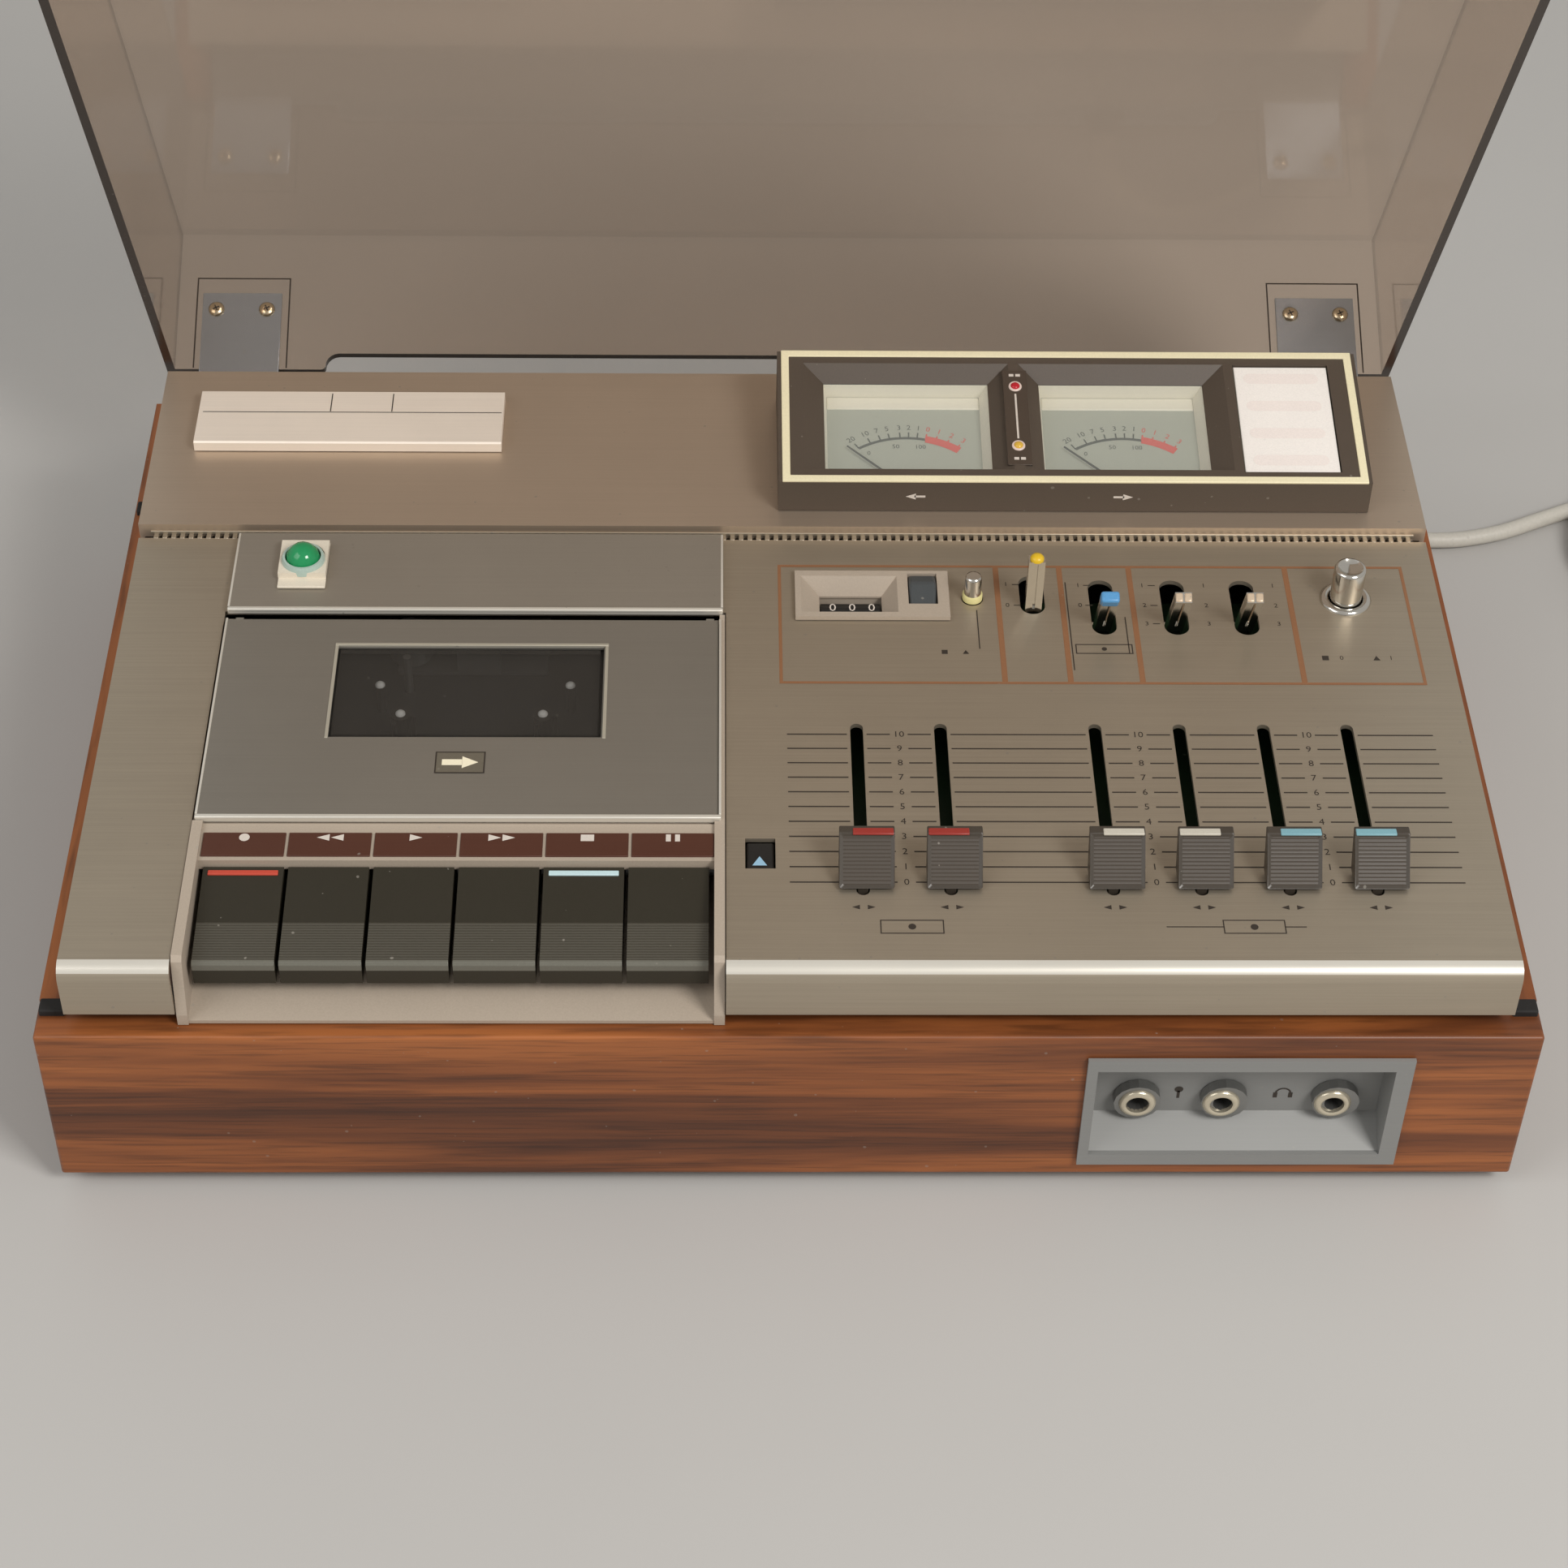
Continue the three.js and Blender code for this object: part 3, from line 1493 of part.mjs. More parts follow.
// A lever switch about its pivot, grooved down its front face, leaned forward at rest
function leverPiece(name, x, lean) {
  const lever = join(
    block(-leverWidth / 2, leverWidth / 2, -leverThickness / 2, leverThickness / 2, 0, leverTip),
    rodX(leverHub, -leverWidth / 2, leverWidth / 2, 0, 0),
  );
  const groove = block(
    -leverGroove / 2,
    leverGroove / 2,
    -leverThickness / 2 - overrun,
    -leverThickness / 2 + leverGroove,
    leverDrop + leverGroove,
    leverTip - leverGroove,
  );
  const mesh = pivoted(name, cut(lever, groove), chrome, x, leverPivotY, leverPivotZ);
  mesh.rotation.x = lean;
  return mesh;
}

// A level slider: wedge knob on a stem that runs in its slot
function sliderPiece(name, x) {
  const base = panelZ + knobLift;
  const top = panelZ + knobHeight;
  const knob = alongX(
    [
      [sliderY + knobFront, base],
      [sliderY + knobTopFront, top],
      [sliderY + knobTopRear, top],
      [sliderY + knobRear, base],
    ],
    x + knobShift - knobWidth / 2,
    x + knobShift + knobWidth / 2,
  );
  const stem = block(
    x - sliderStemWidth / 2,
    x + sliderStemWidth / 2,
    sliderY - sliderStemDepth / 2,
    sliderY + sliderStemDepth / 2,
    sliderFoot,
    base + knobLift,
  );
  return piece(name, join(knob, stem), knobPlastic);
}

// Control board on four standoffs, under the levers, buttons and sliders
function controlBoardPiece() {
  const right = controlBoardRight;
  const rear = controlBoardFront + controlBoardDepth;
  const base = controlBoardTop - controlBoardSheet;
  const parts = [block(controlBoardLeft, right, controlBoardFront, rear, base, controlBoardTop)];
  const floor = footHeight + traySheet + gap;
  for (const x of [controlBoardLeft + standoffInset, right - standoffInset]) {
    for (const y of [controlBoardFront + standoffInset, rear - standoffInset]) {
      parts.push(rodZ(standoffRadius, x, y, floor, controlBoardTop - controlBoardSheet / 2, smallSides));
    }
  }
  return piece('control_board', join(...parts), boardGreen);
}

// Jack plate: flange on the front board, and a well with a sloped tray
function jackPlatePiece() {
  const back = jackWellDepth + jackWall;
  const body = join(
    block(jackPlateLeft, jackPlateRight, -jackPlateProud - gap, -gap, jackPlateBase, jackPlateTop),
    block(
      jackWellLeft - jackWall,
      jackWellRight + jackWall,
      -jackPlateProud,
      back,
      jackWellBase - jackWall,
      jackWellTop + jackWall,
    ),
  );
  const well = alongX(
    [
      [-overrun, jackWellBase],
      [0, jackWellBase],
      [jackWellDepth, jackWellBase + jackTrayRise],
      [jackWellDepth, jackWellTop],
      [-overrun, jackWellTop],
    ],
    jackWellLeft,
    jackWellRight,
  );
  const holes = jackXs.map((x) => rodY(jackHole, x, jackWellDepth - overrun, back + overrun, jackZ));
  return piece('jack_plate', cut(body, well, ...holes), jackSilver);
}

// Three jacks on one board: ferrule, threaded neck, body and bore
function jackBoardPiece() {
  const back = jackWellDepth + jackWall;
  const bodyEnd = back + gap + jackBodyLength;
  const nutFront = jackWellDepth - gap - jackNutDepth;
  const parts = [];
  const bores = [];
  for (const x of jackXs) {
    parts.push(rodY(jackNut, x, nutFront, jackWellDepth - gap, jackZ));
    parts.push(rodY(jackThread, x, nutFront + jackNutDepth / 2, back + jackNutDepth, jackZ));
    parts.push(rodY(jackBodyRadius, x, back + gap, bodyEnd, jackZ));
    bores.push(rodY(jackBore, x, nutFront - overrun, bodyEnd - jackNutDepth, jackZ));
  }
  parts.push(
    block(
      jackXs[0] - jackBoardMargin,
      jackXs[jackXs.length - 1] + jackBoardMargin,
      bodyEnd - jackBoardSheet / 2,
      bodyEnd + jackBoardSheet / 2,
      jackZ - jackBoardHeight / 2,
      jackZ + jackBoardHeight / 2,
    ),
  );
  return piece('jack_board', cut(join(...parts), ...bores), zincSteel);
}

// Dust cover, drawn closed: a five-sided box, its rear wall cut up in the middle
function coverPiece() {
  const shell = cut(
    block(-coverHalf, coverHalf, coverFrontFace, coverRearFace, coverBase, coverTop),
    block(
      -coverHalf + coverWall,
      coverHalf - coverWall,
      coverFrontFace + coverWall,
      coverRearFace - coverWall,
      coverBase - overrun,
      coverTop - coverWall,
    ),
    block(
      -coverNotchHalf,
      coverNotchHalf,
      coverRearFace - coverWall - overrun,
      coverRearFace + overrun,
      coverBase - overrun,
      coverBase + coverRearNotch,
    ),
  );
  return piece('dust_cover', shell, smokedAcrylic);
}

// Hinge leaf: plate inside the cover's rear wall, foot under it, knuckle behind the cabinet
function hingeLeafPiece(name, x) {
  const plateBack = coverRearFace - coverWall - gap;
  const plateFace = plateBack - hingeLeafSheet;
  const half = hingeLeafWidth / 2;
  const kneeHalf = knuckleLength / 2;
  const body = join(
    block(x - half, x + half, plateFace, plateBack, hingeFootBase, hingeFootBase + hingeLeafHeight),
    block(
      x - kneeHalf,
      x + kneeHalf,
      plateFace,
      hingeY,
      hingeFootBase,
      hingeFootBase + hingeFootSheet,
    ),
    rodX(knuckleRadius, x - kneeHalf, x + kneeHalf, hingeY, hingeZ),
  );
  const bore = rodX(
    hingePinRadius + gap,
    x - kneeHalf - overrun,
    x + kneeHalf + overrun,
    hingeY,
    hingeZ,
    smallSides,
  );
  return piece(name, cut(body, bore), chrome);
}

// The cover and its leaves turn together about the hinge pins
function coverGroup() {
  const swing = new THREE.Group();
  swing.position.set(0, hingeY, hingeZ);
  swing.rotation.x = -degrees(coverOpenAngle);
  const closed = new THREE.Group();
  closed.position.set(0, -hingeY, -hingeZ);
  closed.add(coverPiece());
  closed.add(hingeLeafPiece('hinge_leaf_left', -hingeLeafX));
  closed.add(hingeLeafPiece('hinge_leaf_right', hingeLeafX));
  swing.add(closed);
  return swing;
}

// Cord gland in the rear wall
function glandPiece() {
  const face = trayRear + gap;
  const inner = trayRear - traySheet - glandFlangeDepth;
  const body = join(
    rodY(glandFlange, glandX, face, face + glandFlangeDepth, glandZ),
    rodY(glandBarrel, glandX, face + glandFlangeDepth / 2, face + glandBarrelDepth, glandZ),
    rodY(glandNeck, glandX, inner, face + glandFlangeDepth / 2, glandZ),
  );
  return piece('cord_gland', body, blackPlastic);
}

// The coil's centre line: in over the bottom layer, up in the half turn where it reverses, out again
const coilTurns = coilTurnsIn + coilTurnsOut;
const coilLowZ = cordRadius + cordClear;

// The climb takes this share of a turn
const climbShare = 0.5;

function coilPoint(turn) {
  const fromMiddle = turn - coilTurnsIn;
  const radius = coilInner + coilPitch * Math.abs(fromMiddle);
  const angle = degrees(coilStartAngle) - turn * 2 * Math.PI;
  const climb = THREE.MathUtils.clamp(fromMiddle / climbShare + 1 / 2, 0, 1);
  return new THREE.Vector3(
    coilX + radius * Math.cos(angle),
    coilY + radius * Math.sin(angle),
    coilLowZ + climb * coilLayerRise,
  );
}

// The level direction in which the centre line runs at a turn, inwards (-1) or outwards (1)
function coilHeading(turn, way) {
  const radius = coilInner + coilPitch * Math.abs(turn - coilTurnsIn);
  const drift = Math.atan((way * coilPitch) / (2 * Math.PI * radius));
  const angle = degrees(coilStartAngle) - turn * 2 * Math.PI - Math.PI / 2 + drift;
  return new THREE.Vector3(Math.cos(angle), Math.sin(angle), 0);
}

const coilIn = coilHeading(0, -1);
const coilOut = coilHeading(coilTurns, 1);
const coilStart = coilPoint(0).addScaledVector(coilIn, -2 * cordRadius);
const plugZ = plugBodyHeight / 2 + cordClear;

// The tail sinks to the plug's height, then runs straight into it
function coilTail() {
  const last = coilPoint(coilTurns);
  const half = last.clone().addScaledVector(coilOut, coilTailStep).setZ((last.z + plugZ) / 2);
  const low = last.clone().addScaledVector(coilOut, 2 * coilTailStep).setZ(plugZ);
  const end = low.clone().addScaledVector(coilOut, coilTailEnd);
  return [half, low, end];
}

const coilSteps = Math.round(coilTurns * coilStepsPerTurn);

function coilPoints() {
  const points = [coilStart];
  for (let i = 0; i <= coilSteps; i += 1) {
    points.push(coilPoint((i * coilTurns) / coilSteps));
  }
  return points.concat(coilTail());
}

// A path through given points, with one step from each to the next
class PointPath extends THREE.Curve {
  constructor(points) {
    super();
    this.points = points;
  }

  getPoint(t, target = new THREE.Vector3()) {
    const place = t * (this.points.length - 1);
    const index = Math.min(Math.floor(place), this.points.length - 2);
    return target.lerpVectors(this.points[index], this.points[index + 1], place - index);
  }

  getUtoTmapping(u) {
    return u;
  }
}

const ring = (radius, sides) => {
  const points = [];
  for (let i = 0; i < sides; i += 1) {
    const angle = (i / sides) * 2 * Math.PI;
    points.push([radius * Math.cos(angle), radius * Math.sin(angle)]);
  }
  return outline(points);
};

function coilPiece() {
  const points = coilPoints();
  const path = new PointPath(points);
  const options = { steps: points.length - 1, bevelEnabled: false, extrudePath: path };
  const tube = new THREE.ExtrudeGeometry(ring(cordRadius, coilSides), options);
  return piece('cord_coil', tube, cordPlastic);
}

// The least gap between the coil's own turns, measured on its points
function coilGap() {
  const points = coilPoints();
  const skip = coilStepsPerTurn / 2;
  let least = Infinity;
  points.forEach((here, i) => {
    for (let j = i + skip; j < points.length; j += 1) {
      least = Math.min(least, here.distanceTo(points[j]));
    }
  });
  return least - 2 * cordRadius;
}

// The free cord: straight out of the gland, down to the floor, along the rear wall and away right
function cordRunPiece() {
  const start = trayRear + gap + glandBarrelDepth + gap;
  const end = coilStart.clone().addScaledVector(coilIn, -gap);
  const straight = end.clone().addScaledVector(coilIn, -2 * cordRadius);
  const bend = [
    [4, 24.3, 28.4],
    [18, 33.3, 21.5],
    [38, 32.3, 11.5],
    [62, 22.3, 4.6],
    [88, 10.3, coilLowZ],
    [113, 5.5, coilLowZ],
    [134, 8.3, coilLowZ],
    [155, 17.2, coilLowZ],
  ].map(([x, y, z]) => new THREE.Vector3(glandX + x, trayRear + y, z));
  const mouth = new THREE.Vector3(glandX, start, glandZ);
  const outside = new THREE.Vector3(glandX, start + 2 * cordRadius, glandZ);
  const points = [mouth, outside, ...bend, straight, end];
  const route = new THREE.CatmullRomCurve3(points, false, 'centripetal');
  const options = { steps: cordSteps, bevelEnabled: false, extrudePath: route };
  const tube = new THREE.ExtrudeGeometry(ring(cordRadius, cordSides), options);
  return piece('cord_run', tube, cordPlastic);
}

// Plug with two round pins, drawn along +X and turned to the coil's last heading
function plugPiece() {
  const bodyEnd = plugReliefLength + plugBodyLength;
  const parts = [
    rodX(plugReliefRadius, 0, plugReliefLength + plugReliefRadius, 0, 0),
    block(
      plugReliefLength,
      bodyEnd,
      -plugBodyWidth / 2,
      plugBodyWidth / 2,
      -plugBodyHeight / 2,
      plugBodyHeight / 2,
    ),
  ];
  for (const side of [-1, 1]) {
    const y = (side * plugPinSpacing) / 2;
    parts.push(rodX(plugPinRadius, bodyEnd - plugPinRadius, bodyEnd + plugPinLength, y, 0, smallSides));
  }
  const plug = piece('cord_plug', join(...parts), cordPlastic);
  const tail = coilTail();
  plug.position.copy(tail[tail.length - 1]).addScaledVector(coilOut, gap);
  plug.rotation.z = Math.atan2(coilOut.y, coilOut.x);
  return plug;
}

// Assembly
const deck = new THREE.Group();
deck.add(frontBoardPiece());
deck.add(sideBoardPiece('wood_side_left', -1));
deck.add(sideBoardPiece('wood_side_right', 1));
const footX = cabinetWidth / 2 - footInset;
deck.add(footPiece('foot_front_left', -footX, footSetback));
deck.add(footPiece('foot_front_right', footX, footSetback));
deck.add(footPiece('foot_rear_left', -footX, cabinetDepth - footSetback));
deck.add(footPiece('foot_rear_right', footX, cabinetDepth - footSetback));
deck.add(trayPiece());
deck.add(frontPanelPiece());
deck.add(rearPanelPiece());
deck.add(badgePiece());
deck.add(housingPiece());
deck.add(meterPanelPiece());
deck.add(needlePiece('meter_needle_left', meterGlassLeft + meterGlassWidth / 2));
deck.add(needlePiece('meter_needle_right', meterGlassLeft + meterSpacing + meterGlassWidth / 2));
deck.add(moduleFramePiece());
deck.add(keyShaftPiece());
const keyNames = ['record', 'rewind', 'play', 'fast_forward', 'stop', 'pause'];
keyNames.forEach((name, i) => deck.add(keyPiece(`key_${name}`, i)));
deck.add(doorPiece());
deck.add(doorWindowPiece());
deck.add(carrierPiece());
deck.add(hoodPiece());
deck.add(jewelPiece());
deck.add(transportPlatePiece());
deck.add(spindlePiece('spindle_left', spindleXs[0]));
deck.add(spindlePiece('spindle_right', spindleXs[1]));
deck.add(flywheelPiece());
deck.add(motorPiece());
deck.add(headSlidePiece());
deck.add(counterBezelPiece());
deck.add(counterDrumPiece());
deck.add(resetButtonPiece());
deck.add(roundButtonPiece('memory_button', memoryX, memoryY, memoryRadius, memoryRise));
deck.add(roundButtonPiece('power_button', powerX, powerY, powerRadius, powerRise));
deck.add(openButtonPiece());
leverXs.forEach((x, i) => deck.add(leverPiece(`lever_${i + 1}`, x, i === 0 ? 0 : leverLean)));
sliderXs.forEach((x, i) => deck.add(sliderPiece(`slider_${i + 1}`, x)));
deck.add(controlBoardPiece());
deck.add(jackPlatePiece());
deck.add(jackBoardPiece());
deck.add(coverGroup());

// The origin is below the middle of the deck with its cover open, the cord left out
const extent = new THREE.Box3().setFromObject(deck);
const centre = extent.getCenter(new THREE.Vector3());

deck.add(glandPiece());
deck.add(cordRunPiece());
deck.add(coilPiece());
deck.add(plugPiece());
deck.position.set(-centre.x, -centre.y, 0);
console.log(`least gap between the coil's turns: ${coilGap().toFixed(2)} mm`);
console.log(`origin offset: ${centre.x.toFixed(3)}, ${centre.y.toFixed(3)}`);

const cassetteDeck = new THREE.Group();
cassetteDeck.name = 'cassette_deck';
cassetteDeck.add(deck);

export default cassetteDeck;
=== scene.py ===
# %% [markdown]
# # A top-loading cassette deck in a walnut cabinet
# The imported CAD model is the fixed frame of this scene. Each cell below either gives one of its
# solids a finish, or adds thin trim, print and small fittings to them.

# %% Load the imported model
import math

import bmesh
import bpy
from mathutils import Matrix, Vector


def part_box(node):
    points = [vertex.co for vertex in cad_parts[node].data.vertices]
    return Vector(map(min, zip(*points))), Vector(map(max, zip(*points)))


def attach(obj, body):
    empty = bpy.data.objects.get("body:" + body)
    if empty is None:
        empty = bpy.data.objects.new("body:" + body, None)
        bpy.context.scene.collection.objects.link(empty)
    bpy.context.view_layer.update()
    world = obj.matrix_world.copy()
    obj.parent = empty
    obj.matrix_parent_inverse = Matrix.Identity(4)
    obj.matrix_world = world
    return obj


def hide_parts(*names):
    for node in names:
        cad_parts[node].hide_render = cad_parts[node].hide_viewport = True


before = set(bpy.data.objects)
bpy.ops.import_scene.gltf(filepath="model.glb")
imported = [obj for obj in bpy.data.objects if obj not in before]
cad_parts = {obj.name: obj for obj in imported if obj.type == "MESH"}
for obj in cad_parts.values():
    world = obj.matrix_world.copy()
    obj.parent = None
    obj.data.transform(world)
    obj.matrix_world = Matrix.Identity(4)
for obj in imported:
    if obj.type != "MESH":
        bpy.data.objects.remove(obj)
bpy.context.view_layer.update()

# %% [markdown]
# The deck is measured in millimetres: x across from its middle, y back from the wooden front, and
# z up from the table. Blender works in metres, so one small helper turns the first into the second.

# %% A place on the deck
MM = 0.001
wood_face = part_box("wood_front")[0].y


def at(x, y, z):
    """A place on the deck, from millimetres to the scene's metres."""
    return Vector((x * MM, wood_face + y * MM, z * MM))


print("the wooden front stands at y =", round(wood_face, 4))

# %% [markdown]
# The camera looks down on the deck from the front at about 45 degrees. Its place and its three
# directions were solved from the straight edges of the deck. The picture is 1932 pixels square, and
# a line of sight that leaves the lens straight on meets it 3 pixels above its middle.

# %% Camera
picture_side = 1932
focal_pixels = 4065.4
middle_shift_pixels = -3
sensor_mm = 36
looking = Vector((0.02022, 0.71174, -0.70215))
rightward = Vector((0.99979, -0.01308, 0.01553))

camera_data = bpy.data.cameras.new("camera")
camera_data.sensor_width = sensor_mm
camera_data.lens = focal_pixels / picture_side * sensor_mm
camera_data.shift_y = middle_shift_pixels / picture_side
camera_data.clip_start = 0.05
camera = bpy.data.objects.new("camera", camera_data)
bpy.context.collection.objects.link(camera)
upward = rightward.cross(looking).normalized()
turn = Matrix((rightward, upward, -looking)).transposed().to_4x4()
camera.matrix_world = Matrix.Translation(at(-20.93, -601.41, 759.04)) @ turn
bpy.context.scene.camera = camera
bpy.context.scene.view_settings.view_transform = "Standard"
camera_place = tuple(round(v, 3) for v in camera.location)
print("lens", round(camera_data.lens, 2), "mm, camera at", camera_place)

# %% [markdown]
# Every finish starts with a colour as it is seen on screen. Blender's sockets want the linear
# value, so one helper converts it. Another starts a material with a Principled shader.

# %% Colours and materials
def seen(red, green, blue):
    """A colour seen on screen, 0 to 255, as the linear colour that a socket takes."""
    def line(v):
        v = v / 255
        return v / 12.92 if v <= 0.04045 else ((v + 0.055) / 1.055) ** 2.4
    return (line(red), line(green), line(blue), 1)


def finish_named(name):
    """A new material, its node tree and its Principled shader."""
    material = bpy.data.materials.new(name)
    material.use_nodes = True
    return material, material.node_tree, material.node_tree.nodes["Principled BSDF"]


def feed(tree, value, socket):
    """Link a node or an output to a socket, or give the socket a plain value."""
    if isinstance(value, bpy.types.Node):
        value = value.outputs[0]
    if isinstance(value, bpy.types.NodeSocket):
        tree.links.new(value, socket)
    else:
        socket.default_value = value


def add_node(tree, kind, *feeds, **values):
    """A node; feeds go into its first sockets, values into its properties and named sockets."""
    node = tree.nodes.new("ShaderNode" + kind)
    for name, value in values.items():
        if hasattr(node, name) and name not in node.inputs:
            setattr(node, name, value)
        else:
            feed(tree, value, node.inputs[name.replace("_", " ")])
    for value, socket in zip(feeds, node.inputs):
        feed(tree, value, socket)
    return node


def blend(tree, factor, first, second, kind="MIX"):
    """Two colours mixed by a factor."""
    mixed = add_node(
        tree, "Mix", data_type="RGBA", blend_type=kind, Factor=factor, A=first, B=second
    )
    return mixed.outputs["Result"]


def noise(tree, place, scale, detail, roughness=0.5, distortion=0.0):
    """A cloudy value from 0 to 1 that changes with the place."""
    return add_node(
        tree, "TexNoise", Vector=place, Scale=scale, Detail=detail, Roughness=roughness,
        Distortion=distortion,
    )


print("a mid grey of 128 is", round(seen(128, 128, 128)[0], 3), "in linear light")

# %% [markdown]
# Four effects are shared by many finishes, so each is a node group with named inputs and outputs.
# The first is the grain of brushed aluminium: a noise that is stretched along x, fine across it.

# %% Shared effect: brushed lines
NUMBER, COLOUR = "NodeSocketFloat", "NodeSocketColor"


def new_group(name, inputs, outputs):
    """A shader node group, what its user gives it and what it puts out."""
    group = bpy.data.node_groups.new(name, "ShaderNodeTree")
    for title, value in inputs.items():
        socket = group.interface.new_socket(title, in_out="INPUT", socket_type=NUMBER)
        socket.default_value = value
    for title, kind in outputs.items():
        group.interface.new_socket(title, in_out="OUTPUT", socket_type=kind)
    given, out = group.nodes.new("NodeGroupInput"), group.nodes.new("NodeGroupOutput")
    return group, given.outputs, out.inputs


def object_place(tree):
    """Each point's place in its object."""
    return add_node(tree, "TexCoord").outputs["Object"]


def brushed_lines():
    """Streaks along x; Lines is how many there are in a metre."""
    group, given, out = new_group(
        "brushed_lines", {"Lines": 1500, "Length": 14, "Contrast": 0.5}, {"Shade": NUMBER}
    )
    stretch = add_node(group, "CombineXYZ", given["Length"], given["Lines"], given["Lines"])
    scaled = add_node(group, "VectorMath", object_place(group), stretch, operation="MULTIPLY")
    streaks = noise(group, scaled, 1.0, 3.0, 0.7)
    centred = add_node(group, "Math", streaks, 0.5, operation="SUBTRACT")
    strong = add_node(group, "Math", centred, given["Contrast"], operation="MULTIPLY")
    feed(group, add_node(group, "Math", strong, 0.5, operation="ADD"), out["Shade"])
    return group


brushed_lines_group = brushed_lines()
print("made the group", brushed_lines_group.name)

# %% [markdown]
# Nothing on a used deck is even: hands leave soft patches and dust settles as pale specks. This
# group gives both as masks from 0 to 1.

# %% Shared effect: patches and dust
def patches_and_dust():
    """Soft uneven patches, and small scattered specks."""
    group, given, out = new_group(
        "patches_and_dust", {"Patch Scale": 18, "Speck Scale": 330, "Specks": 0.5},
        {"Patches": NUMBER, "Dust": NUMBER},
    )
    place = object_place(group)
    feed(group, noise(group, place, given["Patch Scale"], 4.0, 0.55), out["Patches"])
    specks = add_node(group, "TexVoronoi", feature="F1", Vector=place, Scale=given["Speck Scale"])
    few = noise(group, place, 260.0, 1.0)
    size = add_node(group, "MapRange", few, From_Min=0.58, From_Max=0.75, To_Min=0.0, To_Max=0.2)
    near = add_node(group, "Math", specks, size, operation="LESS_THAN")
    feed(group, add_node(group, "Math", near, given["Specks"], operation="MULTIPLY"), out["Dust"])
    return group


patches_and_dust_group = patches_and_dust()
print("made the group", patches_and_dust_group.name)

# %% [markdown]
# Moulded plastic and paint have a fine skin that breaks up the highlight. It is a small-scale
# noise, which goes into a Bump node and into the roughness.

# %% Shared effect: moulded skin
def moulded_skin():
    """A fine even grain, as spark-eroded moulds leave it; Grain is its size in dots a metre."""
    group, given, out = new_group("moulded_skin", {"Grain": 1800}, {"Height": NUMBER})
    feed(group, noise(group, object_place(group), given["Grain"], 2.0, 0.6), out["Height"])
    return group


moulded_skin_group = moulded_skin()
print("made the group", moulded_skin_group.name)

# %% [markdown]
# Walnut veneer shows long dark streaks that wander along the board, with short dark pores. The
# streaks are a noise stretched along the board and bent by a second one; the pores are a much
# finer noise. The group takes the direction of the grain as two scales, along and across.

# %% Shared effect: walnut figure
def walnut_figure():
    """Walnut colour and pores; Along X and Along Y are the stretch of the grain in x and in y."""
    group, given, out = new_group(
        "walnut_figure", {"Along X": 2.2, "Along Y": 60}, {"Color": COLOUR, "Pores": NUMBER}
    )
    stretch = add_node(group, "CombineXYZ", given["Along X"], given["Along Y"], 60.0)
    scaled = add_node(group, "VectorMath", object_place(group), stretch, operation="MULTIPLY")
    tones = add_node(group, "ValToRGB", noise(group, scaled, 1.0, 6.0, 0.55, 1.1))
    stops = tones.color_ramp.elements
    stops[0].position, stops[0].color = 0.3, seen(76, 40, 20)
    stops[1].position, stops[1].color = 0.72, seen(175, 104, 53)
    for position, tone in ((0.42, (110, 60, 29)), (0.5, (133, 75, 37)), (0.6, (154, 89, 44))):
        stops.new(position).color = seen(*tone)
    fine = add_node(group, "VectorMath", scaled, (12, 12, 16), operation="MULTIPLY")
    pores = noise(group, fine, 1.0, 2.0)
    dark = add_node(group, "MapRange", pores, From_Min=0.3, From_Max=0.5, To_Min=0.55, To_Max=1.0)
    feed(group, blend(group, 0.8, tones, dark, "MULTIPLY"), out["Color"])
    feed(group, dark, out["Pores"])
    return group


walnut_figure_group = walnut_figure()
print("made the group", walnut_figure_group.name)

# %% [markdown]
# Three makers of finishes use those groups: brushed metal, moulded plastic and walnut. Their
# colours are the ones seen on the deck. What is even all over a piece is set on the shader itself.

# %% Finish makers
def use_group(tree, group, **values):
    """A group placed in a material with its own values; gives its outputs."""
    node = tree.nodes.new("ShaderNodeGroup")
    node.node_tree = group
    for name, value in values.items():
        node.inputs[name.replace("_", " ")].default_value = value
    return node.outputs


def between(tree, mask, low, high):
    """A mask from 0 to 1, stretched to run from low to high."""
    return add_node(tree, "MapRange", mask, To_Min=low, To_Max=high)


def shaded(tree, colour, mask, low, high):
    """The colour, made darker or lighter between low and high by a mask from 0 to 1."""
    return blend(tree, 1, colour, between(tree, mask, low, high), "MULTIPLY")


def bumped(tree, shader, height, strength, depth):
    """Relief on the shader's normal; depth is in metres."""
    bump = add_node(tree, "Bump", Strength=strength, Distance=depth, Height=height)
    feed(tree, bump, shader.inputs["Normal"])


def coloured(tree, shader, tone, wear, dust_colour=seen(160, 154, 144)):
    """The tone with pale specks laid over it, as the shader's colour."""
    feed(tree, blend(tree, wear["Dust"], tone, dust_colour), shader.inputs["Base Color"])


def brushed_metal(name, colour, metal=0.75, rough=(0.34, 0.5), contrast=0.6, specks=0.5):
    """Metal with streaks along x, soft patches and a little dust."""
    material, tree, shader = finish_named(name)
    streaks = use_group(tree, brushed_lines_group, Contrast=contrast)["Shade"]
    wear = use_group(tree, patches_and_dust_group, Specks=specks)
    tone = shaded(tree, seen(*colour), streaks, 0.86, 1.14)
    coloured(tree, shader, shaded(tree, tone, wear["Patches"], 0.92, 1.08), wear)
    feed(tree, between(tree, streaks, *rough), shader.inputs["Roughness"])
    bumped(tree, shader, streaks, 0.25, 0.00004)
    shader.inputs["Metallic"].default_value = metal
    return material


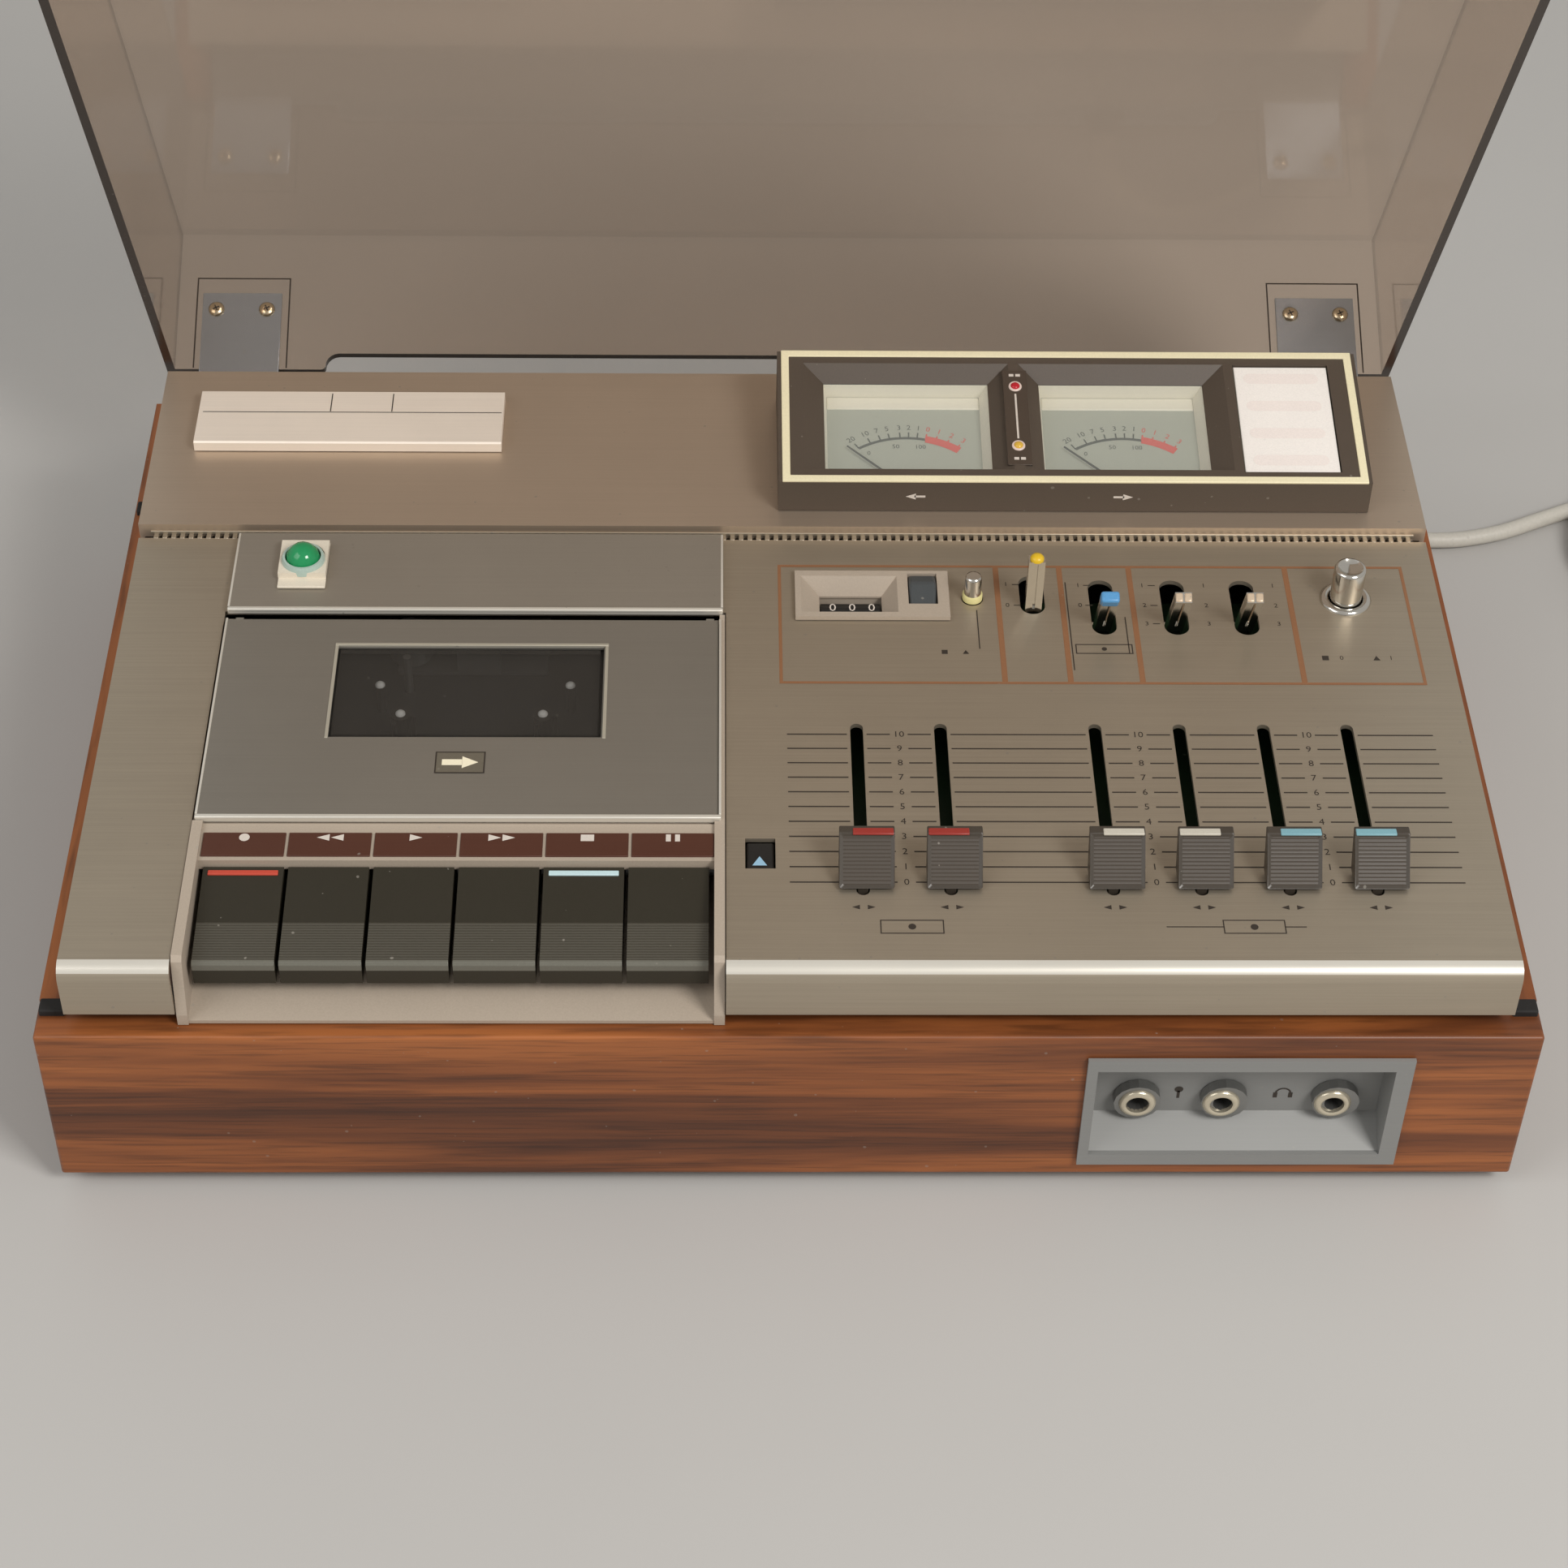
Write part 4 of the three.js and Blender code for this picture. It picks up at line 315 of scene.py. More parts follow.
def moulded_plastic(
    name, colour, rough=(0.35, 0.55), grain=1800, relief=0.3, specks=0.3, gloss=0.5
):
    """Plastic with a fine skin, uneven gloss and a little dust."""
    material, tree, shader = finish_named(name)
    skin = use_group(tree, moulded_skin_group, Grain=grain)["Height"]
    wear = use_group(tree, patches_and_dust_group, Specks=specks)
    tone = shaded(tree, seen(*colour), skin, 0.9, 1.1)
    coloured(tree, shader, shaded(tree, tone, wear["Patches"], 0.94, 1.06), wear)
    feed(tree, between(tree, wear["Patches"], *rough), shader.inputs["Roughness"])
    bumped(tree, shader, skin, relief, 0.00005)
    shader.inputs["Specular IOR Level"].default_value = gloss
    return material


def walnut(name, along_x, along_y):
    """Oiled walnut veneer with its grain in one direction."""
    material, tree, shader = finish_named(name)
    figure = use_group(tree, walnut_figure_group, Along_X=along_x, Along_Y=along_y)
    wear = use_group(tree, patches_and_dust_group, Specks=0.25)
    coloured(tree, shader, figure["Color"], wear)
    feed(tree, between(tree, wear["Patches"], 0.34, 0.52), shader.inputs["Roughness"])
    bumped(tree, shader, figure["Pores"], 0.25, 0.0001)
    return material


champagne = brushed_metal("champagne_brushed", (178, 166, 148), contrast=0.9)
rear_champagne = brushed_metal("rear_brushed", (194, 176, 157), contrast=0.45)
door_brushed = brushed_metal("door_brushed", (156, 151, 142), contrast=0.4)
# A pale metal for polished edges; its pale tone also paints the highlight that runs along them.
polished_edge_highlight = brushed_metal(
    "polished_edge_highlight", (224, 219, 208), metal=0.45, rough=(0.24, 0.36), contrast=0.3
)
hood_brushed = brushed_metal("hood_brushed", (172, 165, 154), contrast=0.4)
bright_chrome = brushed_metal(
    "bright_chrome", (214, 210, 202), metal=1.0, rough=(0.1, 0.2), contrast=0.3, specks=0.1
)
zinc_steel = brushed_metal(
    "zinc_steel", (150, 150, 148), metal=0.9, rough=(0.32, 0.5), contrast=0.5
)
dark_steel = brushed_metal("dark_steel", (44, 43, 42), metal=0.3, rough=(0.4, 0.55), contrast=0.2)
badge_metal = brushed_metal("badge_brushed", (250, 238, 224), metal=0.35, contrast=0.4)
jack_silver = brushed_metal(
    "jack_plate_silver", (140, 140, 138), metal=0.2, rough=(0.45, 0.6), contrast=0.4, specks=0.2
)
beige_plastic = moulded_plastic("beige_moulding", (176, 162, 146), specks=0.4)
# The meter housing's grey is darkened a little past its own colour; that extra darkness paints the
# shade on its front face.
housing_plastic = moulded_plastic("meter_housing_grey", (82, 71, 61), rough=(0.4, 0.6))
black_plastic = moulded_plastic("black_moulding", (28, 27, 26), rough=(0.3, 0.5))
key_plastic = moulded_plastic("key_smooth", (62, 59, 49), rough=(0.32, 0.5), specks=0.5)
knob_plastic = moulded_plastic("knob_grey", (84, 79, 71), rough=(0.3, 0.5), specks=0.5)
rubber = moulded_plastic("rubber", (30, 28, 27), rough=(0.7, 0.85), relief=0.6)
dial_paint = moulded_plastic("dial_paint", (168, 171, 157), rough=(0.5, 0.6), specks=0.1)
needle_paint = moulded_plastic("needle_paint", (30, 30, 30), specks=0.0)
board_green = moulded_plastic("circuit_board", (46, 70, 44), rough=(0.4, 0.6))
cord_vinyl = moulded_plastic("cord_vinyl", (196, 192, 182), rough=(0.42, 0.6), grain=900)
front_walnut = walnut("walnut_front", 3, 36)
side_walnut = walnut("walnut_side", 36, 3)
print("made", len(bpy.data.materials), "finishes")

# %% [markdown]
# The dust cover is smoked acrylic: clear plastic with a brown-grey tint. It is thin, so the tint
# sits in the base colour of a transmitting shader, with a few hairline scratches as roughness.

# %% Clear plastics
def clear_plastic(name, tint, rough=0.03, ior=1.45):
    """Clear plastic, thick enough to bend the light."""
    material, tree, shader = finish_named(name)
    patches = use_group(tree, patches_and_dust_group, Patch_Scale=9, Specks=0.2)["Patches"]
    feed(tree, between(tree, patches, rough, rough * 3), shader.inputs["Roughness"])
    feed(tree, shaded(tree, seen(*tint), patches, 0.97, 1.03), shader.inputs["Base Color"])
    shader.inputs["Transmission Weight"].default_value = 1
    shader.inputs["IOR"].default_value = ior
    return material


def thin_pane(name, tint, alpha):
    """A pane so thin that light goes straight through all but a share of it."""
    material, tree, shader = finish_named(name)
    patches = use_group(tree, patches_and_dust_group, Patch_Scale=30, Specks=0.1)["Patches"]
    feed(tree, shaded(tree, seen(*tint), patches, 0.95, 1.05), shader.inputs["Base Color"])
    shader.inputs["Roughness"].default_value = 0.08
    shader.inputs["Alpha"].default_value = alpha
    return material


smoked_acrylic = clear_plastic("smoked_acrylic", (224, 206, 190))
meter_glass = thin_pane("meter_glass", (210, 214, 208), 0.12)
smoked_pane = thin_pane("smoked_pane", (76, 72, 67), 0.3)
print("made the clear plastics")

# %% [markdown]
# A solid that already has the right shape only needs its finish, which goes into its slots.

# %% Finish the solids
key_names = ["key_record", "key_rewind", "key_play", "key_fast_forward", "key_stop", "key_pause"]
finish_of = {
    front_walnut: ["wood_front"],
    side_walnut: ["wood_side_left", "wood_side_right"],
    rubber: ["foot_front_left", "foot_front_right", "foot_rear_left", "foot_rear_right"],
    zinc_steel: [
        "chassis_tray", "key_shaft", "motor", "head_slide", "capstan_flywheel", "jack_board",
    ],
    champagne: ["front_top_panel"],
    rear_champagne: ["rear_top_panel"],
    badge_metal: ["badge_plate"],
    housing_plastic: ["meter_housing"],
    dial_paint: ["meter_panel"],
    needle_paint: ["meter_needle_left", "meter_needle_right"],
    beige_plastic: ["module_frame", "counter_bezel"],
    door_brushed: ["cassette_door"],
    hood_brushed: ["cassette_hood"],
    smoked_pane: ["door_window"],
    black_plastic: [
        "spindle_left", "spindle_right", "counter_drum", "counter_reset_button", "open_button",
        "cord_gland",
    ],
    bright_chrome: [
        "memory_button", "power_button", "lever_1", "lever_2", "lever_3", "lever_4",
        "hinge_leaf_left", "hinge_leaf_right",
    ],
    knob_plastic: [f"slider_{n}" for n in range(1, 7)],
    key_plastic: key_names,
    board_green: ["control_board"],
    dark_steel: ["transport_plate", "cassette_carrier"],
    jack_silver: ["jack_plate"],
    smoked_acrylic: ["dust_cover"],
    cord_vinyl: ["cord_run", "cord_coil", "cord_plug"],
}
for material, nodes in finish_of.items():
    for node in nodes:
        for material_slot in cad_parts[node].material_slots:
            material_slot.material = material
print("finished", sum(len(nodes) for nodes in finish_of.values()), "solids")

# %% [markdown]
# The added pieces are drawn in deck millimetres and then carried into the scene by one matrix, so
# their numbers can be checked with a ruler. Each ends as an object at the origin, with its place in
# its mesh, that rides on a body of the CAD model.

# %% Making pieces
deck_frame = Matrix.Translation((0, wood_face, 0)) @ Matrix.Scale(MM, 4)
upright = Matrix.Rotation(math.pi / 2, 4, "X")
LEVEL, SHARP, ROUND = math.radians(1), math.radians(25), math.radians(50)


def stays_flat(face):
    """Whether a face is plane and wide beside the rounded strips that turn away from it."""
    turning = [
        other.calc_area() for edge in face.edges for other in edge.link_faces
        if other is not face and LEVEL < edge.calc_face_angle(0) < ROUND
    ]
    return not turning or face.calc_area() > 4 * max(turning)


def make_piece(name, shape, finishes, body, place=deck_frame):
    """Turn a bmesh in deck millimetres into a piece that rides on a body."""
    shape.transform(place)
    if any(len(edge.link_faces) == 2 for edge in shape.edges):
        bmesh.ops.recalc_face_normals(shape, faces=shape.faces)
    for face in shape.faces:
        face.smooth = not stays_flat(face)
    for edge in shape.edges:
        edge.smooth = edge.calc_face_angle(math.tau) < ROUND
    mesh = bpy.data.meshes.new(name)
    shape.to_mesh(mesh)
    shape.free()
    for finish in finishes if isinstance(finishes, (list, tuple)) else [finishes]:
        mesh.materials.append(finish)
    made = bpy.data.objects.new(name, mesh)
    bpy.context.collection.objects.link(made)
    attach(made, body)
    return made


def edges_at(verts):
    """The edges that end at any of these corners."""
    return list({edge for vert in verts for edge in vert.link_edges})


def round_edges(shape, edges, width, steps=2):
    """Turn edges into rounded strips of a width in millimetres."""
    bmesh.ops.bevel(
        shape, geom=edges, offset=width, offset_type="OFFSET", segments=steps, profile=0.5,
        affect="EDGES", material=-1, clamp_overlap=True,
    )


def bar(shape, left, right, front, rear, low, high, round_off=0, steps=2):
    """A bar with rounded edges, added to the shape."""
    middle = Vector(((left + right) / 2, (front + rear) / 2, (low + high) / 2))
    size = Vector((right - left, rear - front, high - low))
    place = Matrix.Translation(middle) @ Matrix.Diagonal((*size, 1))
    verts = bmesh.ops.create_cube(shape, size=1, matrix=place)["verts"]
    if round_off:
        round_edges(shape, edges_at(verts), round_off, steps)


def block(name, measures, finish, body, place=deck_frame):
    """A piece that is a single bar."""
    shape = bmesh.new()
    bar(shape, *measures)
    return make_piece(name, shape, finish, body, place)


def turned(shape, x, y, profile, sides=32):
    """A part turned about an upright axis, from (radius, height) points of its outline."""
    verts = [shape.verts.new((x + radius, y, z)) for radius, z in profile]
    edges = [shape.edges.new(pair) for pair in zip(verts, verts[1:])]
    bmesh.ops.spin(
        shape, geom=verts + edges, cent=(x, y, 0), axis=(0, 0, 1), angle=math.tau, steps=sides,
        use_merge=True, use_duplicate=False,
    )
    bmesh.ops.remove_doubles(shape, verts=shape.verts, dist=0.001)


def lathe(name, x, y, profile, finish, body, sides=32, place=deck_frame):
    """A piece that is a single turned part."""
    shape = bmesh.new()
    turned(shape, x, y, profile, sides)
    return make_piece(name, shape, finish, body, place)


def soften(shape, width, steps=2):
    """Round every sharp edge."""
    sharp = [edge for edge in shape.edges if edge.calc_face_angle(0) > SHARP]
    round_edges(shape, sharp, width, steps)


def softened_copy(node, width, steps=2):
    """The node's own shape, its edges rounded, in deck millimetres."""
    shape = bmesh.new()
    shape.from_mesh(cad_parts[node].data)
    bmesh.ops.remove_doubles(shape, verts=shape.verts, dist=2e-6)
    bmesh.ops.dissolve_limit(shape, angle_limit=LEVEL, verts=shape.verts, edges=shape.edges)
    shape.transform(deck_frame.inverted())
    if width:
        soften(shape, width, steps)
    return shape


print("faces with a turn under", round(math.degrees(ROUND)), "degrees between them look round")

# %% [markdown]
# The mains cord leaves the back of the deck on the right and is seen only there. A table deck has
# a fixed lead of about two metres, so the rest lies in a flat coil of two layers, outside the
# picture. A Bezier curve with automatic handles makes one smooth line through chosen points, and
# the coil's turns are worked out by a loop.

# %% Mains cord: its line
cord_radius = 2.8
coil_middle = (330, 274.7)
coil_inner, coil_pitch = 21, 6.2
turns_in, turns_out = 4, 4.25
coil_start_angle = 108
low_layer, layer_step = 3.1, 6.3
points_a_turn = 16
plug_height = 6.8


def coil_point(turn):
    """Into the middle on the table, then out again on top."""
    radius = coil_inner + coil_pitch * abs(turn - turns_in)
    angle = math.radians(coil_start_angle - 360 * turn)
    lift = min(max((turn - turns_in) / 0.5 + 0.5, 0), 1)
    return Vector((
        coil_middle[0] + radius * math.cos(angle), coil_middle[1] + radius * math.sin(angle),
        low_layer + layer_step * lift,
    ))


def coil_heading(turn):
    """The way that the coil runs there, level with the table."""
    step = coil_point(turn + 0.001) - coil_point(turn - 0.001)
    step.z = 0
    return step.normalized()


cord_mouth = Vector((118, 290.3, 30))
route = [cord_mouth] + [Vector(p) for p in (
    (118, 295.9, 30), (122, 306, 28.4), (136, 315, 21.5), (156, 314, 11.5), (180, 304, 4.6),
    (206, 292, 3.1), (231, 287.2, 3.1), (252, 290, 3.1), (273, 298.9, 3.1),
)]
coil_start = coil_point(0) - 2 * cord_radius * coil_heading(0)
last_turn = turns_in + turns_out
turn_points = [
    coil_point(n / points_a_turn) for n in range(round(last_turn * points_a_turn) + 1)
]
tail_way = coil_heading(last_turn)
tail = [
    coil_point(last_turn) + 6 * n * tail_way
    + Vector((0, 0, (plug_height - low_layer - layer_step) * n / 2)) for n in (1, 2)
]
tail.append(tail[-1] + 9 * tail_way)
cord_points = route + [coil_start] + turn_points + tail


def cord_curve(name, points, radii, finish):
    """A round curve through points in deck millimetres; radii are shares of the cord's own."""
    data = bpy.data.curves.new(name, "CURVE")
    data.dimensions = "3D"
    data.resolution_u = 5
    data.bevel_depth = cord_radius * MM
    data.bevel_resolution = 3
    data.use_fill_caps = True
    line = data.splines.new("BEZIER")
    line.bezier_points.add(len(points) - 1)
    for knot, point, share in zip(line.bezier_points, points, radii):
        knot.co = deck_frame @ point
        knot.handle_left_type = knot.handle_right_type = "AUTO"
        knot.radius = share
    data.materials.append(finish)
    made = bpy.data.objects.new(name, data)
    bpy.context.collection.objects.link(made)
    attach(made, "chassis")
    return made


mains_cord = cord_curve("mains_cord", cord_points, [1] * len(cord_points), cord_vinyl)
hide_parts("cord_run", "cord_coil")

# %% [markdown]
# A ribbed sleeve keeps the cord from kinking where it leaves the gland. It is a second curve on the
# same line, whose radius swells and narrows and tapers off.

# %% Mains cord: sleeve, tie and plug
def along_route(distance):
    """The point of the cord's drawn line at a distance from its mouth."""
    for a, b in zip(route, route[1:]):
        step = (b - a).length
        if distance <= step:
            return a.lerp(b, distance / step)
        distance -= step
    return route[-1]


sleeve_length, sleeve_ribs = 24, 9
sleeve_points, sleeve_radii = [], []
for n in range(2 * sleeve_ribs + 1):
    share = n / (2 * sleeve_ribs)
    sleeve_points.append(along_route(sleeve_length * share))
    sleeve_radii.append((1.85 - 0.6 * share) * (1 if n % 2 == 0 else 0.86))
cord_sleeve = cord_curve("cord_sleeve", sleeve_points, sleeve_radii, cord_vinyl)

tie_width, tie_thick = 5, 0.8
inside = coil_inner - cord_radius - 0.6
outside = coil_inner + coil_pitch * turns_in + cord_radius + 2.1
tie_top = low_layer + layer_step + cord_radius + 1.3
tie_shape = bmesh.new()
bar(
    tie_shape, coil_middle[0] - tie_width / 2, coil_middle[0] + tie_width / 2,
    coil_middle[1] - outside, coil_middle[1] - inside, 0.05, tie_top, 2.2, 3,
)
ends = [face for face in tie_shape.faces if abs(face.normal.x) > 0.9]
bmesh.ops.delete(tie_shape, geom=ends, context="FACES")
bmesh.ops.recalc_face_normals(tie_shape, faces=tie_shape.faces)
bmesh.ops.solidify(tie_shape, geom=tie_shape.faces, thickness=tie_thick)
cord_tie = make_piece("cord_tie", tie_shape, black_plastic, "chassis")

plug_turn = math.atan2(tail_way.y, tail_way.x)
plug_frame = deck_frame @ Matrix.Translation(tail[-1]) @ Matrix.Rotation(plug_turn, 4, "Z")
plug_shape = bmesh.new()
bar(plug_shape, 12, 38, -17, 17, -6.5, 6.5, 3, 4)
for n in range(4):
    bar(plug_shape, 15 + 4 * n, 17 + 4 * n, -17.4, 17.4, -4, 4, 0.8, 2)
bmesh.ops.create_cone(
    plug_shape, cap_ends=True, segments=24, radius1=4.6, radius2=3.4, depth=13,
    matrix=Matrix.Translation((6.3, 0, 0)) @ Matrix.Rotation(-math.pi / 2, 4, "Y"),
)
cord_plug_body = make_piece("plug_body", plug_shape, cord_vinyl, "chassis", plug_frame)
pin_shape = bmesh.new()
for side in (-1, 1):
    bmesh.ops.create_cone(
        pin_shape, cap_ends=True, segments=20, radius1=2, radius2=1.7, depth=19.5,
        matrix=Matrix.Translation((47, side * 9.5, 0)) @ Matrix.Rotation(math.pi / 2, 4, "Y"),
    )
plug_pins = make_piece("plug_pins", pin_shape, bright_chrome, "chassis", plug_frame)
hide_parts("cord_plug")
print("sleeve", sleeve_length, "mm, plug turned", round(math.degrees(plug_turn)), "degrees")

# %% [markdown]
# Prints and symbols are thin flat shapes a few hundredths of a millimetre above what carries them.
# Text comes from Blender's own font and is made a mesh first. Only plain numbers and the usual
# signs of a tape deck are drawn.

# %% Print helpers
PRINT = 0.05


def stroke(shape, x0, y0, x1, y1, width, z):
    """A straight printed line."""
    a, b = Vector((x0, y0, 0)), Vector((x1, y1, 0))
    way = (b - a).normalized()
    side = Vector((-way.y, way.x, 0)) * width / 2
    lift = Vector((0, 0, z))
    corners = (a - side, b - side, b + side, a + side)
    shape.faces.new([shape.verts.new(corner + lift) for corner in corners])


def box_line(shape, left, right, front, rear, width, z):
    """A printed rectangle."""
    for y in (front, rear):
        stroke(shape, left - width / 2, y, right + width / 2, y, width, z)
    for x in (left, right):
        stroke(shape, x, front + width / 2, x, rear - width / 2, width, z)


def spot(shape, x, y, radius, z, sides=20):
    """A printed dot."""
    bmesh.ops.create_circle(
        shape, cap_ends=True, segments=sides, radius=radius, matrix=Matrix.Translation((x, y, z))
    )


def triangle(shape, x, y, width, height, z, turn=0):
    """A printed triangle that points along +y, turned by that many degrees."""
    place = Matrix.Translation((x, y, z)) @ Matrix.Rotation(math.radians(turn), 4, "Z")
    corners = [(-width / 2, -height / 2, 0), (width / 2, -height / 2, 0), (0, height / 2, 0)]
    shape.faces.new([shape.verts.new(place @ Vector(c)) for c in corners])


def figures(shape, text, x, y, size, z, matrix=Matrix.Identity(4)):
    """Text centred on a place."""
    curve = bpy.data.curves.new("figures", "FONT")
    curve.body = text
    curve.size = size
    curve.align_x, curve.align_y = "CENTER", "CENTER"
    curve.resolution_u = 2
    drawn = bpy.data.objects.new("figures", curve)
    bpy.context.collection.objects.link(drawn)
    mesh = bpy.data.meshes.new_from_object(drawn)
    mesh.transform(matrix @ Matrix.Translation((x, y, z)))
    shape.from_mesh(mesh)
    bpy.data.objects.remove(drawn)
    bpy.data.curves.remove(curve)
    bpy.data.meshes.remove(mesh)


print_dark = moulded_plastic("print_dark", (52, 44, 37), rough=(0.5, 0.6), specks=0.1)
print_white = moulded_plastic("print_white", (214, 204, 194), rough=(0.5, 0.6), specks=0.1)
print_orange = moulded_plastic("print_orange", (140, 97, 66), rough=(0.45, 0.6), specks=0.2)
print("prints stand", PRINT, "mm proud")

# %% [markdown]
# Six piano keys work the tape. Each key is smooth at the back and finely ribbed where the finger
# rests, with a rounded front edge. The CAD key is copied, its edges are rounded with a bevel, and
# it is cut across with bisect_plane so that the front part can take the ribbed finish.

# %% Piano keys
def ribbed_plastic(name, colour, pitch, axis="Y", relief=0.5, rough=(0.4, 0.55)):
    """Moulded plastic with fine ribs; pitch is in millimetres and axis runs across them."""
    material = moulded_plastic(name, colour, rough=rough, specks=0.5)
    tree = material.node_tree
    shader = tree.nodes["Principled BSDF"]
    across = add_node(tree, "SeparateXYZ", object_place(tree)).outputs[axis]
    phase = add_node(tree, "Math", across, math.tau / (pitch * MM), operation="MULTIPLY")
    bumped(tree, shader, add_node(tree, "Math", phase, operation="SINE"), relief, 0.00012)
    return material


key_smooth = moulded_plastic(
    "key_top_smooth", (47, 43, 33), rough=(0.42, 0.58), specks=0.4, gloss=0.35
)
key_ribbed = ribbed_plastic("key_ribbed", (71, 67, 57), 0.9)
# The top of each key's rounded front edge takes a paler, glossier plastic, which paints its
# highlight.
key_edge_highlight = moulded_plastic("key_edge_highlight", (104, 102, 92), rough=(0.25, 0.36), specks=0.2)
stripe_red = moulded_plastic("stripe_red", (196, 74, 56), specks=0.1)
stripe_blue = moulded_plastic("stripe_blue", (196, 222, 226), specks=0.1)
ribs_end, edge_start, edge_low = 26.3, 13.4, 80.2
for name in key_names:
    key_shape = softened_copy(name, 0.6, 3)
    for cut in ((0, ribs_end, 0), (0, edge_start, 0), (0, 0, edge_low)):
        bmesh.ops.bisect_plane(
            key_shape, geom=key_shape.verts[:] + key_shape.edges[:] + key_shape.faces[:],
            plane_co=cut, plane_no=(0, 0, 1) if cut[2] else (0, 1, 0), dist=0.0001,
        )
    for face in key_shape.faces:
        middle = face.calc_center_median()
        if middle.z > edge_low and middle.y < edge_start:
            face.material_index = 2
        elif face.normal.z > 0.3 and middle.y < ribs_end:
            face.material_index = 1
    key_piece = make_piece(name + "_cap", key_shape, [key_smooth, key_ribbed, key_edge_highlight], name)
    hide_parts(name)
for name, finish in (("key_record", stripe_red), ("key_stop", stripe_blue)):
    low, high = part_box(name)
    left, right = low.x / MM + 1.5, high.x / MM - 1.5
    block(name + "_stripe", (left, right, 42.9, 44.6, 85.4, 86.4, 0.2), finish, name)
print("keys:", len(key_names), "each", round((high.x - low.x) / MM, 1), "mm wide")

# %% [markdown]
# The strip above the keys carries six brown fields, each with the sign of the key below it.

# %% Key label strip
field_brown = brushed_metal("label_brown", (82, 46, 33), metal=0.1, contrast=0.8, specks=0.4)
strip_left, strip_right = -166.6, -21.8
strip_front, strip_rear = 47.9, 57.1
strip_top = 88.75
field_gap = 0.9
field_pitch = (strip_right - strip_left + field_gap) / 6
strip_shape = bmesh.new()
for n in range(6):
    left = strip_left + n * field_pitch
    right = left + field_pitch - field_gap
    bar(strip_shape, left, right, strip_front, strip_rear, 88.2, strip_top, 0.15)
make_piece("label_fields", strip_shape, field_brown, "chassis")

sign_y, sign_z = 55.1, strip_top + PRINT
signs = bmesh.new()
sign_x = [strip_left + (n + 0.5) * field_pitch - field_gap / 2 for n in range(6)]
spot(signs, sign_x[0], sign_y, 1.5, sign_z, 28)
for x, turn in (
    (sign_x[1] - 2, 90), (sign_x[1] + 2, 90), (sign_x[2], -90),
    (sign_x[3] - 2, -90), (sign_x[3] + 2, -90),
):
    triangle(signs, x, sign_y, 2.6, 3.6, sign_z, turn)
stroke(signs, sign_x[4] - 1.9, sign_y, sign_x[4] + 1.9, sign_y, 2.6, sign_z)
for x in (sign_x[5] - 1.3, sign_x[5] + 1.3):
    stroke(signs, x, sign_y - 1.4, x, sign_y + 1.4, 1.4, sign_z)
make_piece("label_signs", signs, print_white, "chassis")
print("fields every", round(field_pitch, 2), "mm")

# %% [markdown]
# The rounded front edge of the top panel gets a paler metal, which paints the highlight along it.
# The wooden front below it gets softly rounded edges.

# %% Bright front edge
panel_shape = softened_copy("front_top_panel", 0)
highlit_faces = 0
# Faces on top of the front bend take the pale metal, which paints the highlight along the edge.
for face in panel_shape.faces:
    if face.normal.y < -0.1 and face.normal.z > 0.55 and face.calc_center_median().y < 20:
        face.material_index = 1
        highlit_faces += 1
panel_piece = make_piece("front_top_skin", panel_shape, [champagne, polished_edge_highlight], "chassis")
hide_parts("front_top_panel")
wood_shape = softened_copy("wood_front", 0.9, 3)
wood_piece = make_piece("wood_front_board", wood_shape, front_walnut, "chassis")
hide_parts("wood_front")
print("bright faces along the front edge:", highlit_faces)

# %% [markdown]
# The cassette door and the fixed hood behind it are brushed sheet with polished edges. The edge
# trim is a set of thin bars over the CAD plates, a tenth of a millimetre proud; their pale tone
# also paints the highlight along those edges.

# %% Door and hood trim
def edge_trim(name, node, low_z, front_width, body, side_rear=None):
    """Polished bars along the front and the two sides of a plate, which may end short.

    Their pale tone also paints the highlight along the plate's edges.
    """
    low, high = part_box(node)
    left, right = low.x / MM, high.x / MM
    front = (low.y - wood_face) / MM
    rear = side_rear or (high.y - wood_face) / MM
    top, side_width = high.z / MM + 0.08, 0.7
    shape = bmesh.new()
    bar(shape, left - 0.05, right + 0.05, front - 0.1, front + front_width, low_z, top, 0.45, 3)
    for x0, x1 in ((left - 0.05, left + side_width), (right - side_width, right + 0.05)):
        bar(shape, x0, x1, front + front_width, rear, low_z + 0.6, top, 0.2, 2)
    make_piece(name, shape, polished_edge_highlight, body)


edge_trim("door_trim", "cassette_door", 88.2, 1.5, "door", side_rear=146.6)
edge_trim("hood_trim", "cassette_hood", 88.9, 1.3, "chassis")
# The hood's front lip is a pale bar that paints the bright band of light along the hood's front
# edge.
lip_measures = (-169.4, -19.6, 149.7, 151.2, 89.9, 91.12, 0.4, 3)
block("hood_lip", lip_measures, polished_edge_highlight, "chassis")

door_top = 90.4
lens_top = door_top + 0.06
lens_print_z = lens_top + PRINT
window_left, window_right, window_front, window_rear = -134.6, -54.6, 94.8, 134.2
rim_shape = bmesh.new()
for x0, x1, y0, y1 in (
    (window_left - 1, window_right + 1, window_rear, window_rear + 1.1),
    (window_left - 1, window_left, window_front - 0.6, window_rear),
    (window_right, window_right + 1, window_front - 0.6, window_rear),
):
    bar(rim_shape, x0, x1, y0, y1, door_top - 0.6, door_top + 0.14, 0.12)
rim_paint = brushed_metal("window_rim", (196, 190, 174), metal=0.5, contrast=0.3)
make_piece("window_rim", rim_shape, rim_paint, "door")

